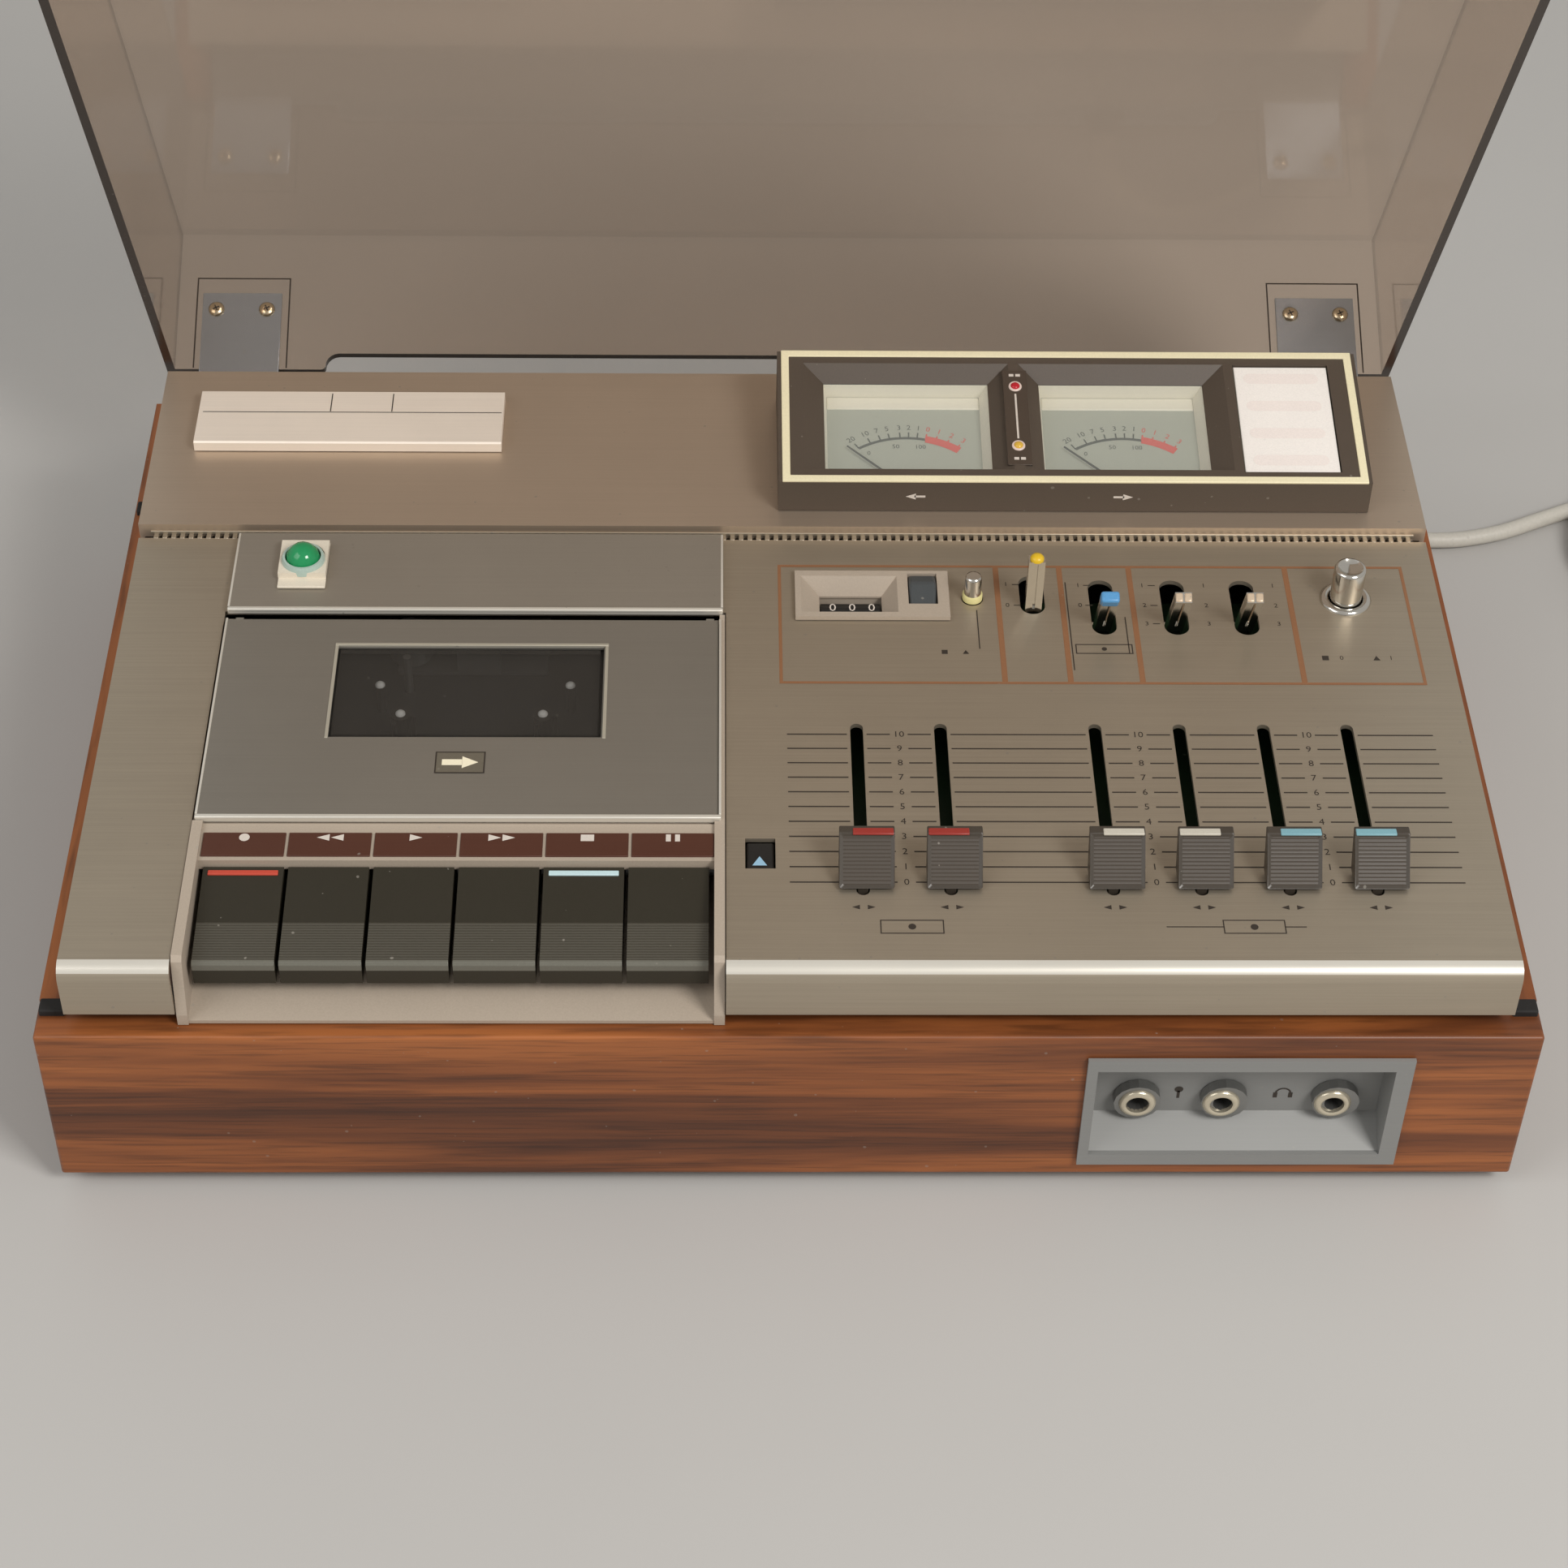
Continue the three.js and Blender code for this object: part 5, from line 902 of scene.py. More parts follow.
lens_plate = moulded_plastic("arrow_lens", (104, 97, 84), rough=(0.25, 0.4), specks=0.2)
lens_measures = (-102.6, -88.3, 79.6, 88.3, door_top - 0.3, lens_top, 0.1)
block("arrow_lens", lens_measures, lens_plate, "door")
lens_line = bmesh.new()
box_line(lens_line, -102.5, -88.4, 79.7, 88.2, 0.4, lens_print_z)
make_piece("arrow_lens_line", lens_line, print_dark, "door")
arrow_shape = bmesh.new()
stroke(arrow_shape, -100.7, 84, -94.8, 84, 2.4, lens_print_z)
triangle(arrow_shape, -92.5, 84, 4.9, 4.7, lens_print_z, -90)
arrow_cream = moulded_plastic("arrow_cream", (246, 236, 208), rough=(0.4, 0.5), specks=0.0)
make_piece("arrow_mark", arrow_shape, arrow_cream, "door")
print("door trim, window rim and arrow lens are on the door")

# %% [markdown]
# The lamp in the hood is a green faceted lens in a white square dish. The dish is a plate with a
# round hole: its rim is a square loop bridged to a circle, and the circle is pushed down. The lens
# is a low cone of flat facets, so its edges stay sharp.

# %% Tape lamp
lamp_x, lamp_y = -148.1, 169.2
dish_half_x, dish_front, dish_rear = 7.3, 158.9, 179.8
dish_top, dish_floor = 94.1, 92.2
dish_depth_share = 1.06
dish_middle = Vector((lamp_x, lamp_y + 1.5, dish_top))
dish = bmesh.new()
bar(dish, lamp_x - dish_half_x, lamp_x + dish_half_x, dish_front, dish_rear, 91.2, 92.15, 0.3)
hole, outer = (
    bmesh.ops.create_circle(
        dish, segments=32, radius=radius, matrix=Matrix.Translation(dish_middle)
    )["verts"] for radius in (6.5, 10)
)
hole_edges, outer_edges = edges_at(hole), edges_at(outer)
for vert in outer:
    off = vert.co - dish_middle
    to_square = dish_half_x / max(abs(off.x), abs(off.y))
    vert.co = dish_middle + to_square * Vector((off.x, off.y * dish_depth_share, 0))
bmesh.ops.bridge_loops(dish, edges=hole_edges + outer_edges)
for loop, depth in ((hole_edges, dish_top - dish_floor), (outer_edges, dish_top - 91.6)):
    pushed = bmesh.ops.extrude_edge_only(dish, edges=loop)["geom"]
    corners = [item for item in pushed if isinstance(item, bmesh.types.BMVert)]
    bmesh.ops.translate(dish, verts=corners, vec=(0, 0, -depth))
dish_white = moulded_plastic("dish_white", (226, 216, 198), rough=(0.3, 0.5), specks=0.2)
lamp_dish = make_piece("lamp_dish", dish, dish_white, "chassis")
ring_silver = moulded_plastic("lamp_ring_silver", (176, 196, 186), rough=(0.15, 0.25), specks=0.2)
lathe("lamp_ring", lamp_x, lamp_y + 0.2, [
    (5.2, 92.6), (6.6, 92.6), (6.7, 94.4), (6.2, 95.6), (5.5, 95.6), (5.2, 92.6),
], ring_silver, "chassis", 40)
lens_green = clear_plastic("lens_green", (40, 168, 104), rough=0.06, ior=1.5)
lens_shader = lens_green.node_tree.nodes["Principled BSDF"]
lens_shader.inputs["Transmission Weight"].default_value = 0.3
lamp_lens = lathe("lamp_lens", lamp_x, lamp_y + 0.2, [
    (0, 92), (5.2, 92), (5.4, 94.6), (4.7, 97.0), (3.0, 98.8), (1.1, 99.5), (0, 99.5),
], lens_green, "chassis", 12)
for edge in lamp_lens.data.edges:
    edge.use_edge_sharp = True
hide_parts("jewel_lamp")
print("lamp at", lamp_x, lamp_y)

# %% [markdown]
# Each level slider has a tapered knob with a ribbed finger face that is set in a little, and a
# coloured strip on top that is shorter than the knob, so that pairs of knobs can be told apart.

# %% Slider knobs
knob_smooth = moulded_plastic("knob_smooth", (66, 59, 51), rough=(0.28, 0.42), specks=0.4)
knob_ribbed = ribbed_plastic("knob_ribbed", (70, 62, 54), 0.8, axis="Z", rough=(0.3, 0.45))
stem_low, stem_high, stem_rear = 90.3, 91.2, 38
fillet_area = 3e-6
strip_colours = [(150, 50, 42)] * 2 + [(196, 190, 176)] * 2 + [(124, 168, 178)] * 2
for n, colour in enumerate(strip_colours, 1):
    name = f"slider_{n}"
    knob_shape = softened_copy(name, 0)
    stem_tip = [
        vert for vert in knob_shape.verts
        if stem_low < vert.co.z < stem_high and vert.co.y < stem_rear
    ]
    bmesh.ops.dissolve_verts(knob_shape, verts=stem_tip)
    forward = [face for face in knob_shape.faces if face.normal.y < -0.5]
    finger = max(forward, key=lambda face: face.calc_area())
    bmesh.ops.inset_individual(
        knob_shape, faces=[finger], thickness=1.1, depth=-0.5, use_even_offset=True
    )
    finger.material_index = 1
    soften(knob_shape, 0.3)
    knob = make_piece(name + "_knob", knob_shape, [knob_smooth, knob_ribbed], name)
    for face in knob.data.polygons:
        face.use_smooth = face.area < fillet_area
    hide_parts(name)
    low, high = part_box(name)
    left, right = low.x / MM, high.x / MM
    x0, x1 = (left + 3.8, right - 0.3) if n % 2 else (left + 0.3, right - 3.8)
    strip_paint = moulded_plastic(f"slider_strip_{n}", colour, rough=(0.25, 0.4), specks=0.2)
    block(name + "_strip", (x0, x1, 44.3, 46.7, 100.9, 101.65, 0.25), strip_paint, name)
print("knobs:", len(strip_colours), "each", round(right - left, 1), "mm wide")

# %% [markdown]
# The level scales are printed lines with a number column between each pair of sliders. A frame line
# runs round the switches and buttons, with broad dividers between their groups. Numbers, thin
# lines and small arrows say what each position of a switch does.

# %% Panel print
panel_top = 88.6
print_z = panel_top + PRINT
thin = 0.35
slider_x = [20, 44.7, 90.3, 115.2, 140.1, 164.8]
column_x = [32.35, 102.75, 152.45]
scale_left, scale_right, scale_first, scale_step = -0.5, 190, 38, 6
gaps = sorted([(x - 2.9, x + 2.9) for x in slider_x] + [(x - 2.6, x + 2.6) for x in column_x])
scale_print = bmesh.new()
for n in range(11):
    y = scale_first + scale_step * n
    start = scale_left
    for gap_left, gap_right in gaps + [(scale_right, scale_right)]:
        stroke(scale_print, start, y, gap_left, y, 0.48, print_z)
        start = gap_right
    for x in column_x:
        figures(scale_print, str(n), x, y, 3.4, print_z)
for x in slider_x:
    for turn, side in ((90, -1), (-90, 1)):
        triangle(scale_print, x + side * 2.2, 28.4, 1.7, 2.2, print_z, turn)
make_piece("scale_print", scale_print, print_dark, "chassis")

frame_print = bmesh.new()
box_line(frame_print, -1.9, 191.2, 120.3, 173.3, 1.0, print_z)
for x in (65.1, 84.8, 106.4, 155):
    stroke(frame_print, x, 120.8, x, 172.8, 1.7, print_z)
make_piece("switch_frame_print", frame_print, print_orange, "chassis")

sign_print = bmesh.new()
for x, y, width, height in ((54, 134, 1.9, 1.7), (178.1, 131.7, 2.2, 2)):
    triangle(sign_print, x, y, width, height, print_z)
for x0, y0, x1, y1, width in (
    (58.3, 135.4, 58.3, 153, thin), (46.7, 134, 48.5, 134, 1.8), (161.6, 131.7, 163.6, 131.7, 2),
    (86.3, 126, 86.3, 166, thin), (103.5, 133.5, 103.5, 150, thin),
    (103.9, 21, 119.9, 21, thin), (137, 21, 143, 21, thin),
):
    stroke(sign_print, x0, y0, x1, y1, width, print_z)
for text, x, y in (
    ("0", 167.5, 131.7), ("1", 182.5, 131.7), ("1", 67.9, 165), ("0", 67.9, 155.3),
    ("1", 90.2, 164.6), ("0", 90.2, 155.4), ("1", 110, 164.6), ("2", 110, 155.4), ("3", 110, 147),
    ("1", 129, 164.6), ("2", 129, 155.4), ("3", 129, 147), ("1", 150.4, 164.6), ("2", 150.4, 155.4),
    ("3", 150.4, 147),
):
    figures(sign_print, text, x, y, 2.6, print_z)
for x, y in (
    (71, 164.9), (71, 155.3), (93, 164.6), (93, 155.4), (113, 164.6), (113, 155.4), (113, 147),
):
    stroke(sign_print, x - 1.2, y, x + 1, y, thin, print_z)
for left, right, front, rear in (
    (87.5, 104.5, 133.5, 137.5), (24.5, 41.9, 18.5, 23.4), (119.9, 137, 18.6, 23.5),
):
    box_line(sign_print, left, right, front, rear, thin, print_z)
for x, y, radius in ((96, 135.5, 0.8), (33.2, 21, 1.1), (128.4, 21, 1.1)):
    spot(sign_print, x, y, radius, print_z)
make_piece("panel_signs", sign_print, print_dark, "chassis")
print("scale lines every", scale_step, "mm")

# %% [markdown]
# Between the two top panels runs a comb: a row of teeth with dark gaps that lets warm air out. It
# would be stamped from the panel's edge; here each tooth is a small rounded bar.

# %% Vent comb
comb = bmesh.new()
tooth_pitch, tooth_width, teeth = 2.72, 1.5, 145
tooth_place = (185.5, 188.1, 86.2, 88.75)
for n in range(teeth):
    x = (n - (teeth - 1) / 2) * tooth_pitch
    bar(comb, x - tooth_width / 2, x + tooth_width / 2, *tooth_place, 0.15, 1)
bar(comb, -197.6, 197.6, 187.6, 188.15, 88.5, 89.7, 0.2)
make_piece("vent_comb", comb, champagne, "chassis")
print("teeth:", teeth, "every", tooth_pitch, "mm")

# %% [markdown]
# The buttons are turned parts: each one is a profile spun about its own axis, which is how a lathe
# makes it. The power button has a dished top and a bright collar round it.

# %% Buttons
power_x, power_y, memory_x, memory_y = 172.2, 158.6, 57.2, 158.4
power_cap = lathe("power_button_cap", power_x, power_y, [
    (0, 75.2), (4.9, 75.2), (4.9, 100.7), (4.5, 101.4), (3.9, 101.6), (3.4, 101.2), (2.4, 100.5),
    (0, 100.2),
], bright_chrome, "power_button", 40)
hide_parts("power_button")
lathe("power_collar", power_x, power_y, [
    (5.4, 88.3), (5.4, 89.3), (6.0, 89.8), (7.2, 89.6), (7.9, 88.9), (7.9, 88.3), (5.4, 88.3),
], bright_chrome, "chassis", 48)
memory_cap = lathe("memory_button_cap", memory_x, memory_y, [
    (0, 75.2), (2.6, 75.2), (2.6, 97.1), (2.2, 97.8), (1.4, 98), (0, 97.9),
], bright_chrome, "memory_button")
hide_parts("memory_button")
# A pale yellow ring round the foot of the memory button paints the yellowish reflection there.
foot_reflection_yellow = moulded_plastic("foot_reflection_yellow", (222, 212, 150), rough=(0.3, 0.45), specks=0.1)
lathe("memory_foot_reflection", memory_x, memory_y, [
    (2.5, 88.8), (3.1, 88.8), (3.1, 90.6), (2.8, 91), (2.5, 91), (2.5, 88.8),
], foot_reflection_yellow, "memory_button")

reset_grey = moulded_plastic("reset_grey", (72, 76, 78), rough=(0.25, 0.4), specks=0.4)
reset_shape = softened_copy("counter_reset_button", 1.0, 3)
reset_cap = make_piece("reset_cap", reset_shape, reset_grey, "counter_reset_button")
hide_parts("counter_reset_button")
open_shape = softened_copy("open_button", 0.7, 3)
open_cap = make_piece("open_cap", open_shape, black_plastic, "open_button")
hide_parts("open_button")
open_sign = bmesh.new()
triangle(open_sign, -8.9, 47.4, 4.2, 3.6, 87.4 + PRINT)
sign_blue = moulded_plastic("sign_blue", (150, 190, 214), rough=(0.3, 0.4), specks=0.0)
make_piece("open_sign", open_sign, sign_blue, "open_button")

digits = bmesh.new()
drum_y, drum_z, drum_radius, digit_turn = 159.2, 79.6, 4.4, 2
digit_x = (14.5, 20.5, 26.5)
for x in digit_x:
    around = (
        Matrix.Translation((x, drum_y, drum_z)) @ Matrix.Rotation(math.radians(digit_turn), 4, "X")
        @ Matrix.Translation((0, 0, drum_radius + PRINT))
    )
    figures(digits, "0", 0, 0, 4.6, 0, around)
make_piece("counter_digits", digits, print_white, "counter_drum")
print("buttons turned; the drum shows", len(digit_x), "digits")

# %% [markdown]
# The first lever switch ends in a yellow dome. The other three end in a twin bar, and one of them
# has a blue cap. They ride on their levers, so they tilt with them.

# %% Lever caps
cap_yellow = moulded_plastic("cap_yellow", (226, 186, 40), rough=(0.25, 0.4), specks=0.0)
cap_blue = moulded_plastic("cap_blue", (86, 150, 200), rough=(0.25, 0.4), specks=0.0)
lathe("lever_1_cap", 75.6, 154.5, [
    (0, 107.8), (2.1, 107.8), (2.1, 108.5), (1.7, 109.1), (0.9, 109.5), (0, 109.6),
], cap_yellow, "lever_1")
# The twin bars are chrome; their warm champagne colour paints the panel that is reflected in them.
lever_bar_reflection = brushed_metal(
    "lever_bar_reflection", (210, 188, 162), metal=0.25, rough=(0.22, 0.34), contrast=0.3
)
lean_degrees, lever_y, pivot_z, bar_x = 26, 154.5, 76.5, 1.35
lean_turn = Matrix.Rotation(math.radians(lean_degrees), 4, "X")
for n, x in ((2, 96.9), (3, 119), (4, 140.5)):
    lean = deck_frame @ Matrix.Translation((x, lever_y, pivot_z)) @ lean_turn
    tips = bmesh.new()
    for middle in (-bar_x, bar_x):
        bar(tips, middle - 1.15, middle + 1.15, -1.5, 1.5, 14, 31.9, 0.5, 3)
    make_piece(f"lever_{n}_bars", tips, lever_bar_reflection, f"lever_{n}", lean)
    if n == 2:
        block("lever_2_cap", (-2.8, 2.8, -1.8, 1.8, 28.2, 32.4, 0.8, 3), cap_blue, "lever_2", lean)
print("lever tips lean", lean_degrees, "degrees forward")

# %% [markdown]
# The meter housing slopes back by 9.3 degrees, so its trim, panes and dials are drawn flat and
# carried there by one matrix. The cream trim is a rectangle inset to a frame and thickened.

# %% Meter trim, windows and card
housing_front, slope_start, slope_degrees = 195.5, 104.3, 9.3
slope_turn = Matrix.Rotation(math.radians(slope_degrees), 4, "X")
slope_frame = deck_frame @ Matrix.Translation((0, housing_front, slope_start)) @ slope_turn
cream_paint = moulded_plastic("cream_trim", (240, 230, 194), rough=(0.3, 0.45), specks=0.1)
inner_white = moulded_plastic("window_inner", (232, 226, 208), rough=(0.4, 0.55), specks=0.0)
plate_brown = moulded_plastic("lamp_plate", (74, 62, 52), rough=(0.4, 0.55), specks=0.2)


def rectangle(shape, left, right, front, rear, level):
    """A flat rectangle and its four edges."""
    middle = Matrix.Translation(((left + right) / 2, (front + rear) / 2, level))
    size = Matrix.Diagonal(((right - left) / 2, (rear - front) / 2, 1, 1))
    corners = bmesh.ops.create_grid(
        shape, x_segments=1, y_segments=1, size=1, matrix=middle @ size
    )["verts"]
    face = corners[0].link_faces[0]
    return face, list(face.edges)


trim = bmesh.new()
trim_face, _ = rectangle(trim, -0.8, 182.6, -0.2, 55.4, 0.45)
bmesh.ops.inset_individual(trim, faces=[trim_face], thickness=2.5, use_even_offset=True)
bmesh.ops.delete(trim, geom=[trim_face], context="FACES")
bmesh.ops.solidify(trim, geom=trim.faces[:], thickness=0.9)
soften(trim, 0.25)
make_piece("meter_trim", trim, cream_paint, "chassis", slope_frame)

dial_red = moulded_plastic("dial_red", (214, 72, 64), rough=(0.5, 0.6), specks=0.0)
dial_black = moulded_plastic("dial_black", (58, 62, 58), rough=(0.5, 0.6), specks=0.0)


def arc(shape, x, y, inner, outer, start, end, z):
    """A flat strip of a ring; angles are in degrees from straight up, clockwise."""
    angle = math.radians(start)
    ends = [
        shape.verts.new((x + r * math.sin(angle), y + r * math.cos(angle), z))
        for r in (inner, outer)
    ]
    bmesh.ops.spin(
        shape, geom=ends + [shape.edges.new(ends)], cent=(x, y, z), axis=(0, 0, 1),
        angle=-math.radians(end - start), steps=16, use_duplicate=False, use_merge=False,
    )


pane_measures = (4.9, 45.1, -4.6, -4.1, 0.1, 1)
dial_z, arc_radius, pivot_y = -9.4, 28, -1.4
zone_start = 12.5
marks = (
    (20, -33), (10, -24), (7, -17), (5, -11), (3, -4), (2, 1.5), (1, 7), (0, zone_start), (1, 19),
    (2, 26.5), (3, 34),
)
for side, left, right, pivot_x in (("left", 12.8, 65.4, 39.1), ("right", 81.8, 134.4, 108.1)):
    liner = bmesh.new()
    top_face, top_edges = rectangle(liner, left, right, 5.2, 44.8, -4.3)
    floor_face, floor_edges = rectangle(liner, left + 1.1, right - 2.5, 5.3, 44, -9.42)
    bmesh.ops.delete(liner, geom=[top_face, floor_face], context="FACES_ONLY")
    bmesh.ops.bridge_loops(liner, edges=top_edges + floor_edges)
    # A pale bar across the back of each dial paints the band of light that falls on the dial there.
    bar(liner, left + 1.1, right - 2.5, 38.8, 43.9, -10.4, -9.1, 0.5, 3)
    make_piece(f"window_liner_{side}", liner, inner_white, "chassis", slope_frame)
    pane = (left - 0.3, right + 0.3, *pane_measures)
    block(f"meter_pane_{side}", pane, meter_glass, "chassis", slope_frame)
    black, red = bmesh.new(), bmesh.new()
    pivot = Vector((pivot_x, pivot_y, dial_z))
    arc(black, pivot_x, pivot_y, arc_radius - 0.5, arc_radius + 0.5, -33, zone_start, dial_z)
    arc(red, pivot_x, pivot_y, arc_radius - 1.2, arc_radius + 1.6, zone_start, 36, dial_z)
    for value, degrees in marks:
        angle = math.radians(degrees)
        way = Vector((math.sin(angle), math.cos(angle), 0))
        shape = red if degrees > 10 else black
        start, end = pivot + arc_radius * way, pivot + (arc_radius + 2.4) * way
        stroke(shape, start.x, start.y, end.x, end.y, 0.45, dial_z + 0.02)
        place = Matrix.Translation(pivot + (arc_radius + 4.4) * way)
        figures(shape, str(value), 0, 0, 2.8, 0, place @ Matrix.Rotation(-angle, 4, "Z"))
    for text, degrees in (("0", -29), ("50", -8), ("100", 10)):
        angle = math.radians(degrees)
        x, y = pivot_x + 25 * math.sin(angle), pivot_y + 24.6 * math.cos(angle)
        figures(black, text, x, y, 2.4, dial_z)
    make_piece(f"dial_print_{side}", black, dial_black, "chassis", slope_frame)
    make_piece(f"dial_zone_{side}", red, dial_red, "chassis", slope_frame)

card_top = -0.65
card_paint = moulded_plastic("card_paint", (246, 240, 234), rough=(0.5, 0.6), specks=0.1)
card_measures = (144.5, 174.3, 5, 49.7, card_top - 0.3, card_top, 0.12)
block("card_face", card_measures, card_paint, "chassis", slope_frame)
pills = bmesh.new()
for y in (44.7, 33, 21.4, 10):
    stroke(pills, 149.5, y, 169.1, y, 4.4, card_top + PRINT)
    for x in (149.5, 169.1):
        spot(pills, x, y, 2.2, card_top + 0.02 + PRINT)
pill_paint = moulded_plastic("pill_paint", (243, 233, 227), rough=(0.5, 0.6), specks=0.0)
make_piece("card_fields", pills, pill_paint, "chassis", slope_frame)
print("trim, liners, panes, dials and card are on the housing")

# %% [markdown]
# Two small lamps sit on a dark plate between the meters, red above yellow, joined by a pale line.
# Each is a dome pressed into a paler ring.

# %% Meter lamps
lamp_line_x, plate_top = 73.8, 0.18
plate_measures = (69.9, 77.7, 7, 47.2, -0.3, plate_top, 0.15)
block("lamp_cover_plate", plate_measures, plate_brown, "chassis", slope_frame)
lamp_red = moulded_plastic("lamp_red", (190, 30, 44), rough=(0.15, 0.25), specks=0.0)
lamp_yellow = moulded_plastic("lamp_yellow", (222, 178, 70), rough=(0.15, 0.25), specks=0.0)
lamp_rim = moulded_plastic("lamp_rim", (228, 206, 196), rough=(0.2, 0.3), specks=0.0)
for name, x, y, finish in (
    ("red_lamp", lamp_line_x, 40.2, lamp_red), ("yellow_lamp", 73.6, 15, lamp_yellow),
):
    lathe(name, x, y, [
        (0, 0), (1.5, 0), (1.45, 0.6), (1.1, 1), (0.5, 1.25), (0, 1.3),
    ], finish, "chassis", place=slope_frame)
    lathe(name + "_rim", x, y, [
        (1.45, 0), (1.45, 0.5), (1.8, 0.6), (2.1, 0.4), (2.15, 0), (1.45, 0),
    ], lamp_rim, "chassis", place=slope_frame)
lamp_print = bmesh.new()
stroke(lamp_print, 73.7, 18, 73.7, 37, 0.6, plate_top + PRINT)
for y in (45, 9.6):
    for x in (lamp_line_x - 1.05, lamp_line_x + 1.05):
        stroke(lamp_print, x - 0.75, y, x + 0.75, y, 1.1, plate_top + PRINT)
make_piece("lamp_print", lamp_print, print_white, "chassis", slope_frame)
arrow_print = bmesh.new()
front_frame = deck_frame @ Matrix.Translation((0, housing_front, 0)) @ upright
for x, turn in ((39.4, 90), (107.6, -90)):
    triangle(arrow_print, x, 98.3, 2.4, 3.2, PRINT, turn)
    side = -1 if turn < 0 else 1
    stroke(arrow_print, x + side * 1.2, 98.3, x + side * 4.6, 98.3, 0.8, PRINT)
make_piece("channel_arrows", arrow_print, print_white, "chassis", front_frame)
print("lamps at", lamp_line_x, "mm across")

# %% [markdown]
# The badge plate has a fine engraved line with two short dividers, drawn as thin dark strokes.

# %% Badge lines
badge_print_z = 96.1 + PRINT
badge_lines = bmesh.new()
stroke(badge_lines, -186.4, 239.4, -90.6, 239.4, thin, badge_print_z)
for x in (-145.6, -125.9):
    stroke(badge_lines, x, 239.8, x, 249, thin, badge_print_z)
make_piece("badge_lines", badge_lines, print_dark, "chassis")
print("badge lines drawn")

# %% [markdown]
# The dust cover stands open at 64 degrees. Its own measures are taken with the cover closed, so the
# matrix below swings a closed drawing open about the hinge. The copy gets round moulded edges and
# rounded notch corners.

# %% Dust cover
open_degrees = 64
hinge = Matrix.Translation((0, 286.4, 63))
swing = hinge @ Matrix.Rotation(math.radians(-open_degrees), 4, "X") @ hinge.inverted()
open_frame = deck_frame @ swing
cover_shape = softened_copy("dust_cover", 0)
cover_shape.transform(swing.inverted())
notch_x, notch_top, cover_low = 152.5, 74.1, 68.1
for level, offset in ((notch_top, 4.5), (cover_low, 2.2)):
    corner_edges = []
    for edge in cover_shape.edges:
        a, b = edge.verts[0].co, edge.verts[1].co
        middle = (a + b) / 2
        level_ok = abs(a.z - level) < 0.2 and abs(b.z - level) < 0.2
        if level_ok and abs(abs(middle.x) - notch_x) < 0.2 and abs(a.x - b.x) < 0.1:
            corner_edges.append(edge)
    round_edges(cover_shape, corner_edges, offset, 5)
    print("rounded", len(corner_edges), "notch edges at z", level)
for face in cover_shape.faces:
    if face.normal.z < -0.3 and face.calc_center_median().z < notch_top + 0.1:
        face.material_index = 1
convex = [
    edge for edge in cover_shape.edges if edge.calc_face_angle_signed(0) > 0.7
    and all(face.material_index == 0 for face in edge.link_faces)
]
round_edges(cover_shape, convex, 0.8, 3)
acrylic_rim = moulded_plastic("acrylic_rim", (62, 54, 48), rough=(0.1, 0.2), specks=0.2)
cover_shell = make_piece(
    "dust_cover_shell", cover_shape, [smoked_acrylic, acrylic_rim], "cover", open_frame
)
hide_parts("dust_cover")

leaf_steel = brushed_metal(
    "leaf_steel", (184, 190, 198), metal=0.95, rough=(0.18, 0.3), contrast=0.4
)
screw_steel = brushed_metal(
    "screw_steel", (196, 178, 150), metal=0.95, rough=(0.2, 0.34), contrast=0.3
)
for side in ("left", "right"):
    leaf_shape = softened_copy(f"hinge_leaf_{side}", 0.3)
    leaf = make_piece(f"leaf_{side}", leaf_shape, leaf_steel, "cover")
    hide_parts(f"hinge_leaf_{side}")
    for n, x in enumerate((172.8, 189.7), 1):
        across = x if side == "right" else -x
        head_frame = open_frame @ Matrix.Translation((across, 269.9, 89.6)) @ upright
        lathe(f"hinge_screw_{side}_{n}", 0, 0, [
            (0, -0.3), (2.7, -0.3), (2.7, 0.35), (2.1, 1.0), (1.1, 1.35), (0, 1.4),
        ], screw_steel, "cover", 24, head_frame)
        cross = bmesh.new()
        for turn in (25, 115):
            c, s = math.cos(math.radians(turn)), math.sin(math.radians(turn))
            stroke(cross, -1.1 * c, -1.1 * s, 1.1 * c, 1.1 * s, 0.4, 1.43)
        make_piece(f"screw_cross_{side}_{n}", cross, print_dark, "cover", head_frame)
pocket_frame = open_frame @ Matrix.Translation((0, 271.4, 0)) @ upright
pocket = bmesh.new()
for left, right in ((-196.6, -165.6), (165.6, 196.6)):
    for x in (left, right):
        stroke(pocket, x, 68.5, x, 101.8, 0.5, PRINT)
    stroke(pocket, left - 0.25, 102, right + 0.25, 102, 0.5, PRINT)
make_piece("leaf_pocket_lines", pocket, acrylic_rim, "cover", pocket_frame)
print("cover, leaves and screws swing about the same hinge")

# %% [markdown]
# Four rubber stops on the wooden rim carry the closed cover.

# %% Cover stops
stop_shape = bmesh.new()
stops = 0
for left, right in ((-209.3, -202), (202, 209.3)):
    for front, rear in ((8, 13), (223.5, 228.5)):
        bar(stop_shape, left, right, front, rear, 64.8, 67.9, 0.6, 3)
        stops += 1
make_piece("cover_stops", stop_shape, rubber, "chassis")
print("stops:", stops)

# %% [markdown]
# The three jacks have bright turned ferrules. A microphone and a headphone sign on the wall behind
# them say which is which.

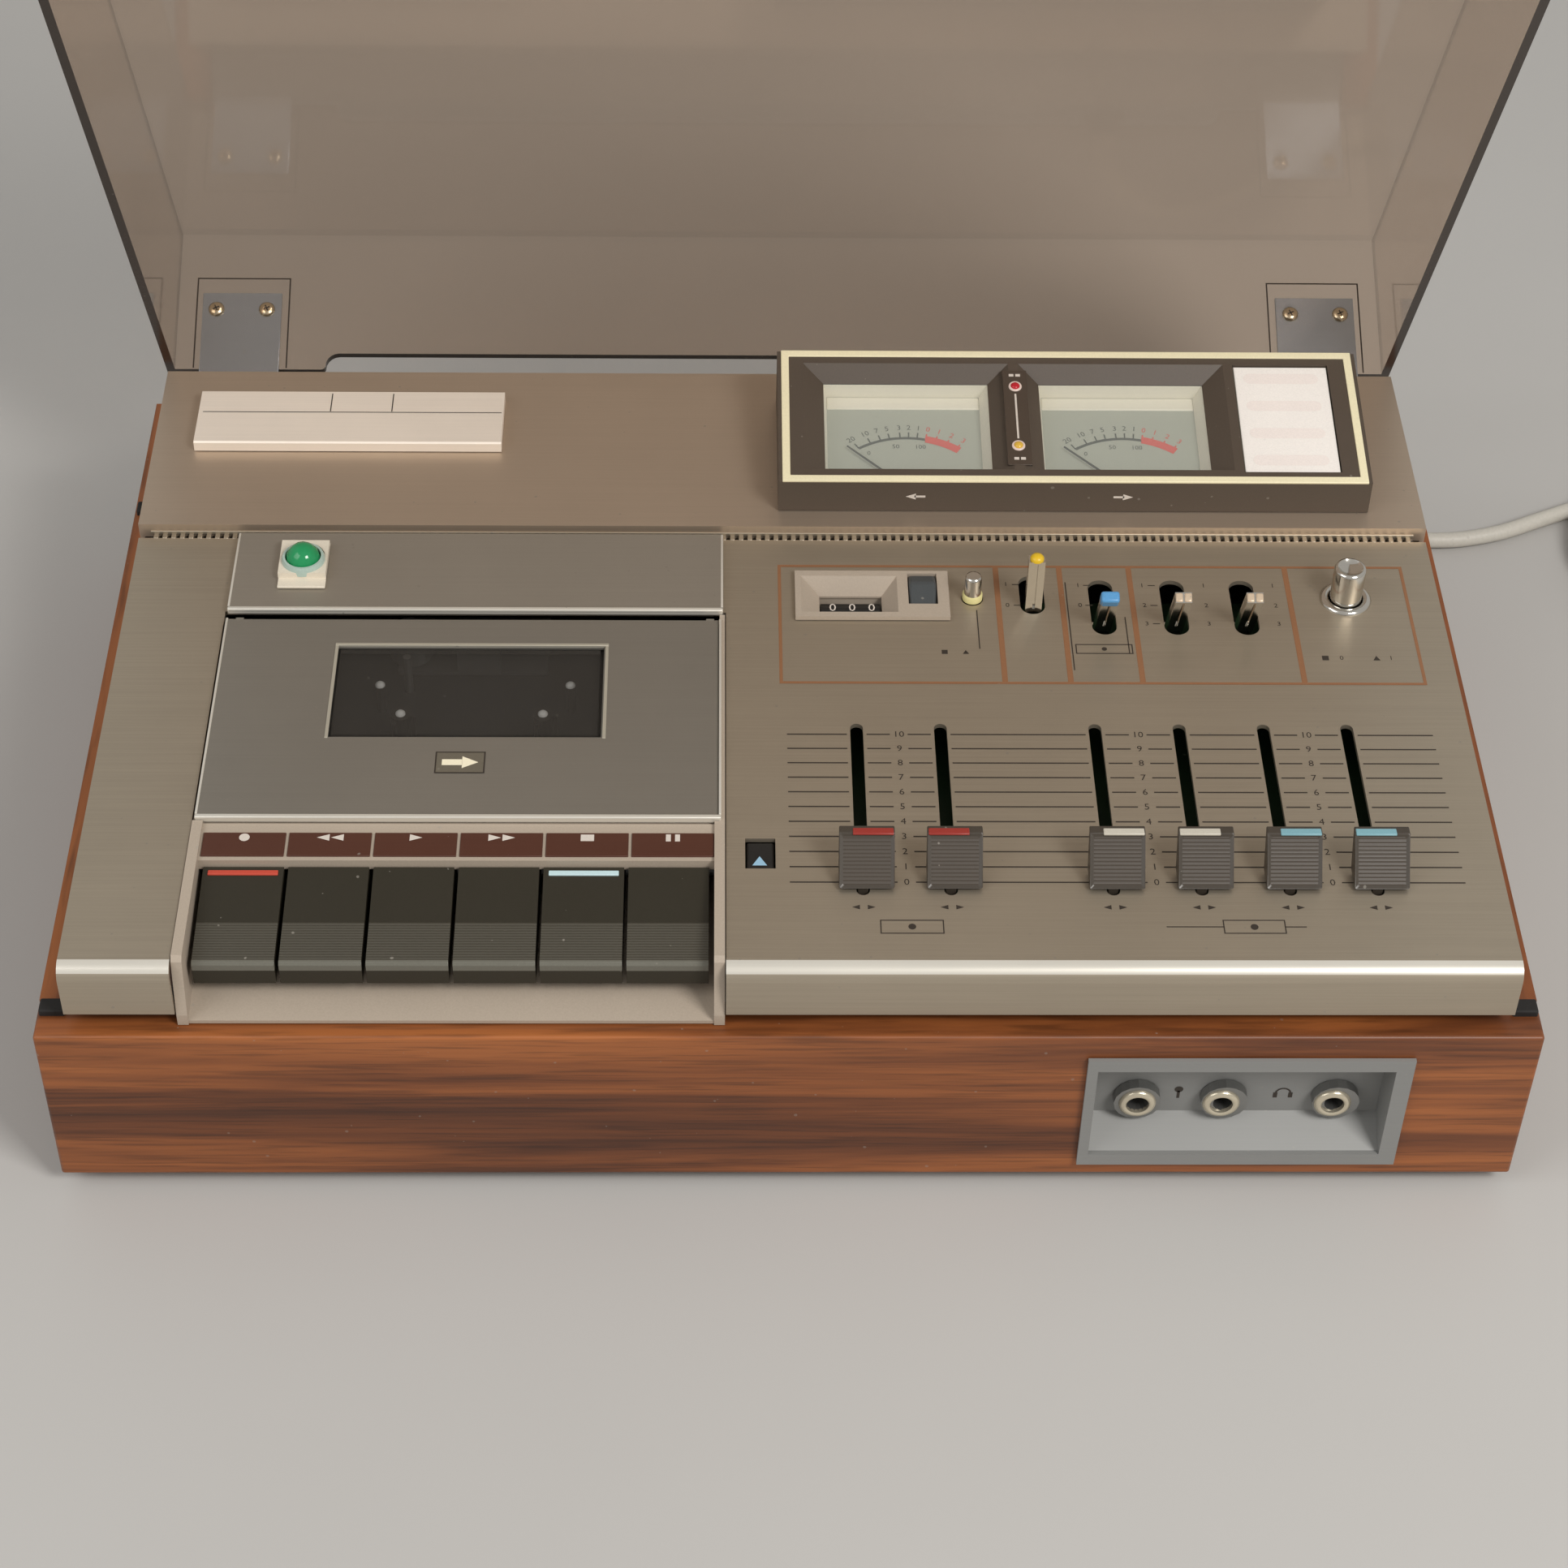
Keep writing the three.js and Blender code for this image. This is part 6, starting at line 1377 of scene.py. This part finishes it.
# %% Jack ferrules and signs
jack_x, jack_z, jack_front, wall_y = (99.8, 123.9, 156.0), 29.8, 6.7, 9.95
ferrules = bmesh.new()
ferrule_frame = deck_frame @ Matrix.Translation((0, jack_front, 0)) @ upright
for x in jack_x:
    turned(ferrules, x, jack_z, [
        (3.3, -0.4), (3.3, 0.9), (3.7, 1.2), (4.6, 1.1), (5.3, 0.5), (5.4, -0.4), (3.3, -0.4),
    ], 36)
ferrule_brass = brushed_metal(
    "ferrule_brass", (214, 204, 182), metal=0.7, rough=(0.2, 0.3), contrast=0.2
)
make_piece("jack_ferrules", ferrules, ferrule_brass, "chassis", ferrule_frame)
wall_frame = deck_frame @ Matrix.Translation((0, wall_y, 0)) @ upright
jack_signs = bmesh.new()
spot(jack_signs, 111.9, 32, 1.25, PRINT)
stroke(jack_signs, 111.9, 31.4, 111.9, 28.2, 0.8, PRINT)
arc(jack_signs, 142.1, 30.2, 1.9, 2.4, -80, 80, PRINT)
for x in (139.9, 144.3):
    stroke(jack_signs, x, 28.4, x, 30.6, 1.2, PRINT)
make_piece("jack_signs", jack_signs, print_dark, "chassis", wall_frame)
print("jacks at", jack_x)

# %% [markdown]
# Through the door's window the two drive spindles and the two locating pins show as bright spots.
# Small white turned caps on their tips paint those highlights.

# %% Spindle and pin tips
tip_highlight = moulded_plastic("tip_highlight", (246, 244, 238), rough=(0.3, 0.45), specks=0.0)
spindle_y, spindle_top, pin_y, pin_top = 115.9, 79.4, 132.2, 75.9
for name, x, y, top, body in (
    ("spindle_tip_left", -115.6, spindle_y, spindle_top, "spindle_left"),
    ("spindle_tip_right", -73.1, spindle_y, spindle_top, "spindle_right"),
    ("pin_tip_left", -123.1, pin_y, pin_top, "chassis"),
    ("pin_tip_right", -65.5, pin_y, pin_top, "chassis"),
):
    lathe(name, x, y, [
        (0, top - 0.2), (1.5, top - 0.2), (1.5, top + 0.4), (0.9, top + 1.1), (0, top + 1.3),
    ], tip_highlight, body, 20)
print("tips are under the window")

# %% [markdown]
# The table is a plain pale sheet. One large soft lamp stands in front on the right, which throws
# the shadows of the levers and knobs back and to the left. A weaker one fills from the left.

# %% Table and light
def soft_lamp(name, place, aim, size, power, colour=(1, 1, 1)):
    """A square lamp that faces its aim."""
    lamp_data = bpy.data.lights.new(name, "AREA")
    lamp_data.shape = "SQUARE"
    lamp_data.size = size
    lamp_data.energy = power
    lamp_data.color = colour
    lamp = bpy.data.objects.new(name, lamp_data)
    bpy.context.collection.objects.link(lamp)
    lamp.location = place
    lamp.rotation_euler = (Vector(aim) - Vector(place)).to_track_quat("-Z", "Y").to_euler()


table_mesh = bpy.data.meshes.new("table")
sheet = bmesh.new()
bmesh.ops.create_grid(sheet, x_segments=2, y_segments=2, size=6)
sheet.to_mesh(table_mesh)
sheet.free()
table = bpy.data.objects.new("table", table_mesh)
bpy.context.collection.objects.link(table)
table_paint, table_tree, table_shader = finish_named("table_paint")
patches = use_group(table_tree, patches_and_dust_group, Patch_Scale=3, Specks=0.0)["Patches"]
table_tone = shaded(table_tree, seen(186, 184, 181), patches, 0.95, 1.05)
feed(table_tree, table_tone, table_shader.inputs["Base Color"])
table_shader.inputs["Roughness"].default_value = 0.6
table_mesh.materials.append(table_paint)

deck_middle = (0, 0, 0.05)
soft_lamp("key_lamp", (0.85, -1.0, 1.35), deck_middle, 0.55, 20, (1, 0.98, 0.95))
soft_lamp("fill_lamp", (-1.1, -0.7, 1.2), deck_middle, 1.0, 7)
world = bpy.data.worlds.new("studio")
world.use_nodes = True
background = world.node_tree.nodes["Background"].inputs
background["Color"].default_value = seen(236, 234, 230)
background["Strength"].default_value = 0.55
bpy.context.scene.world = world
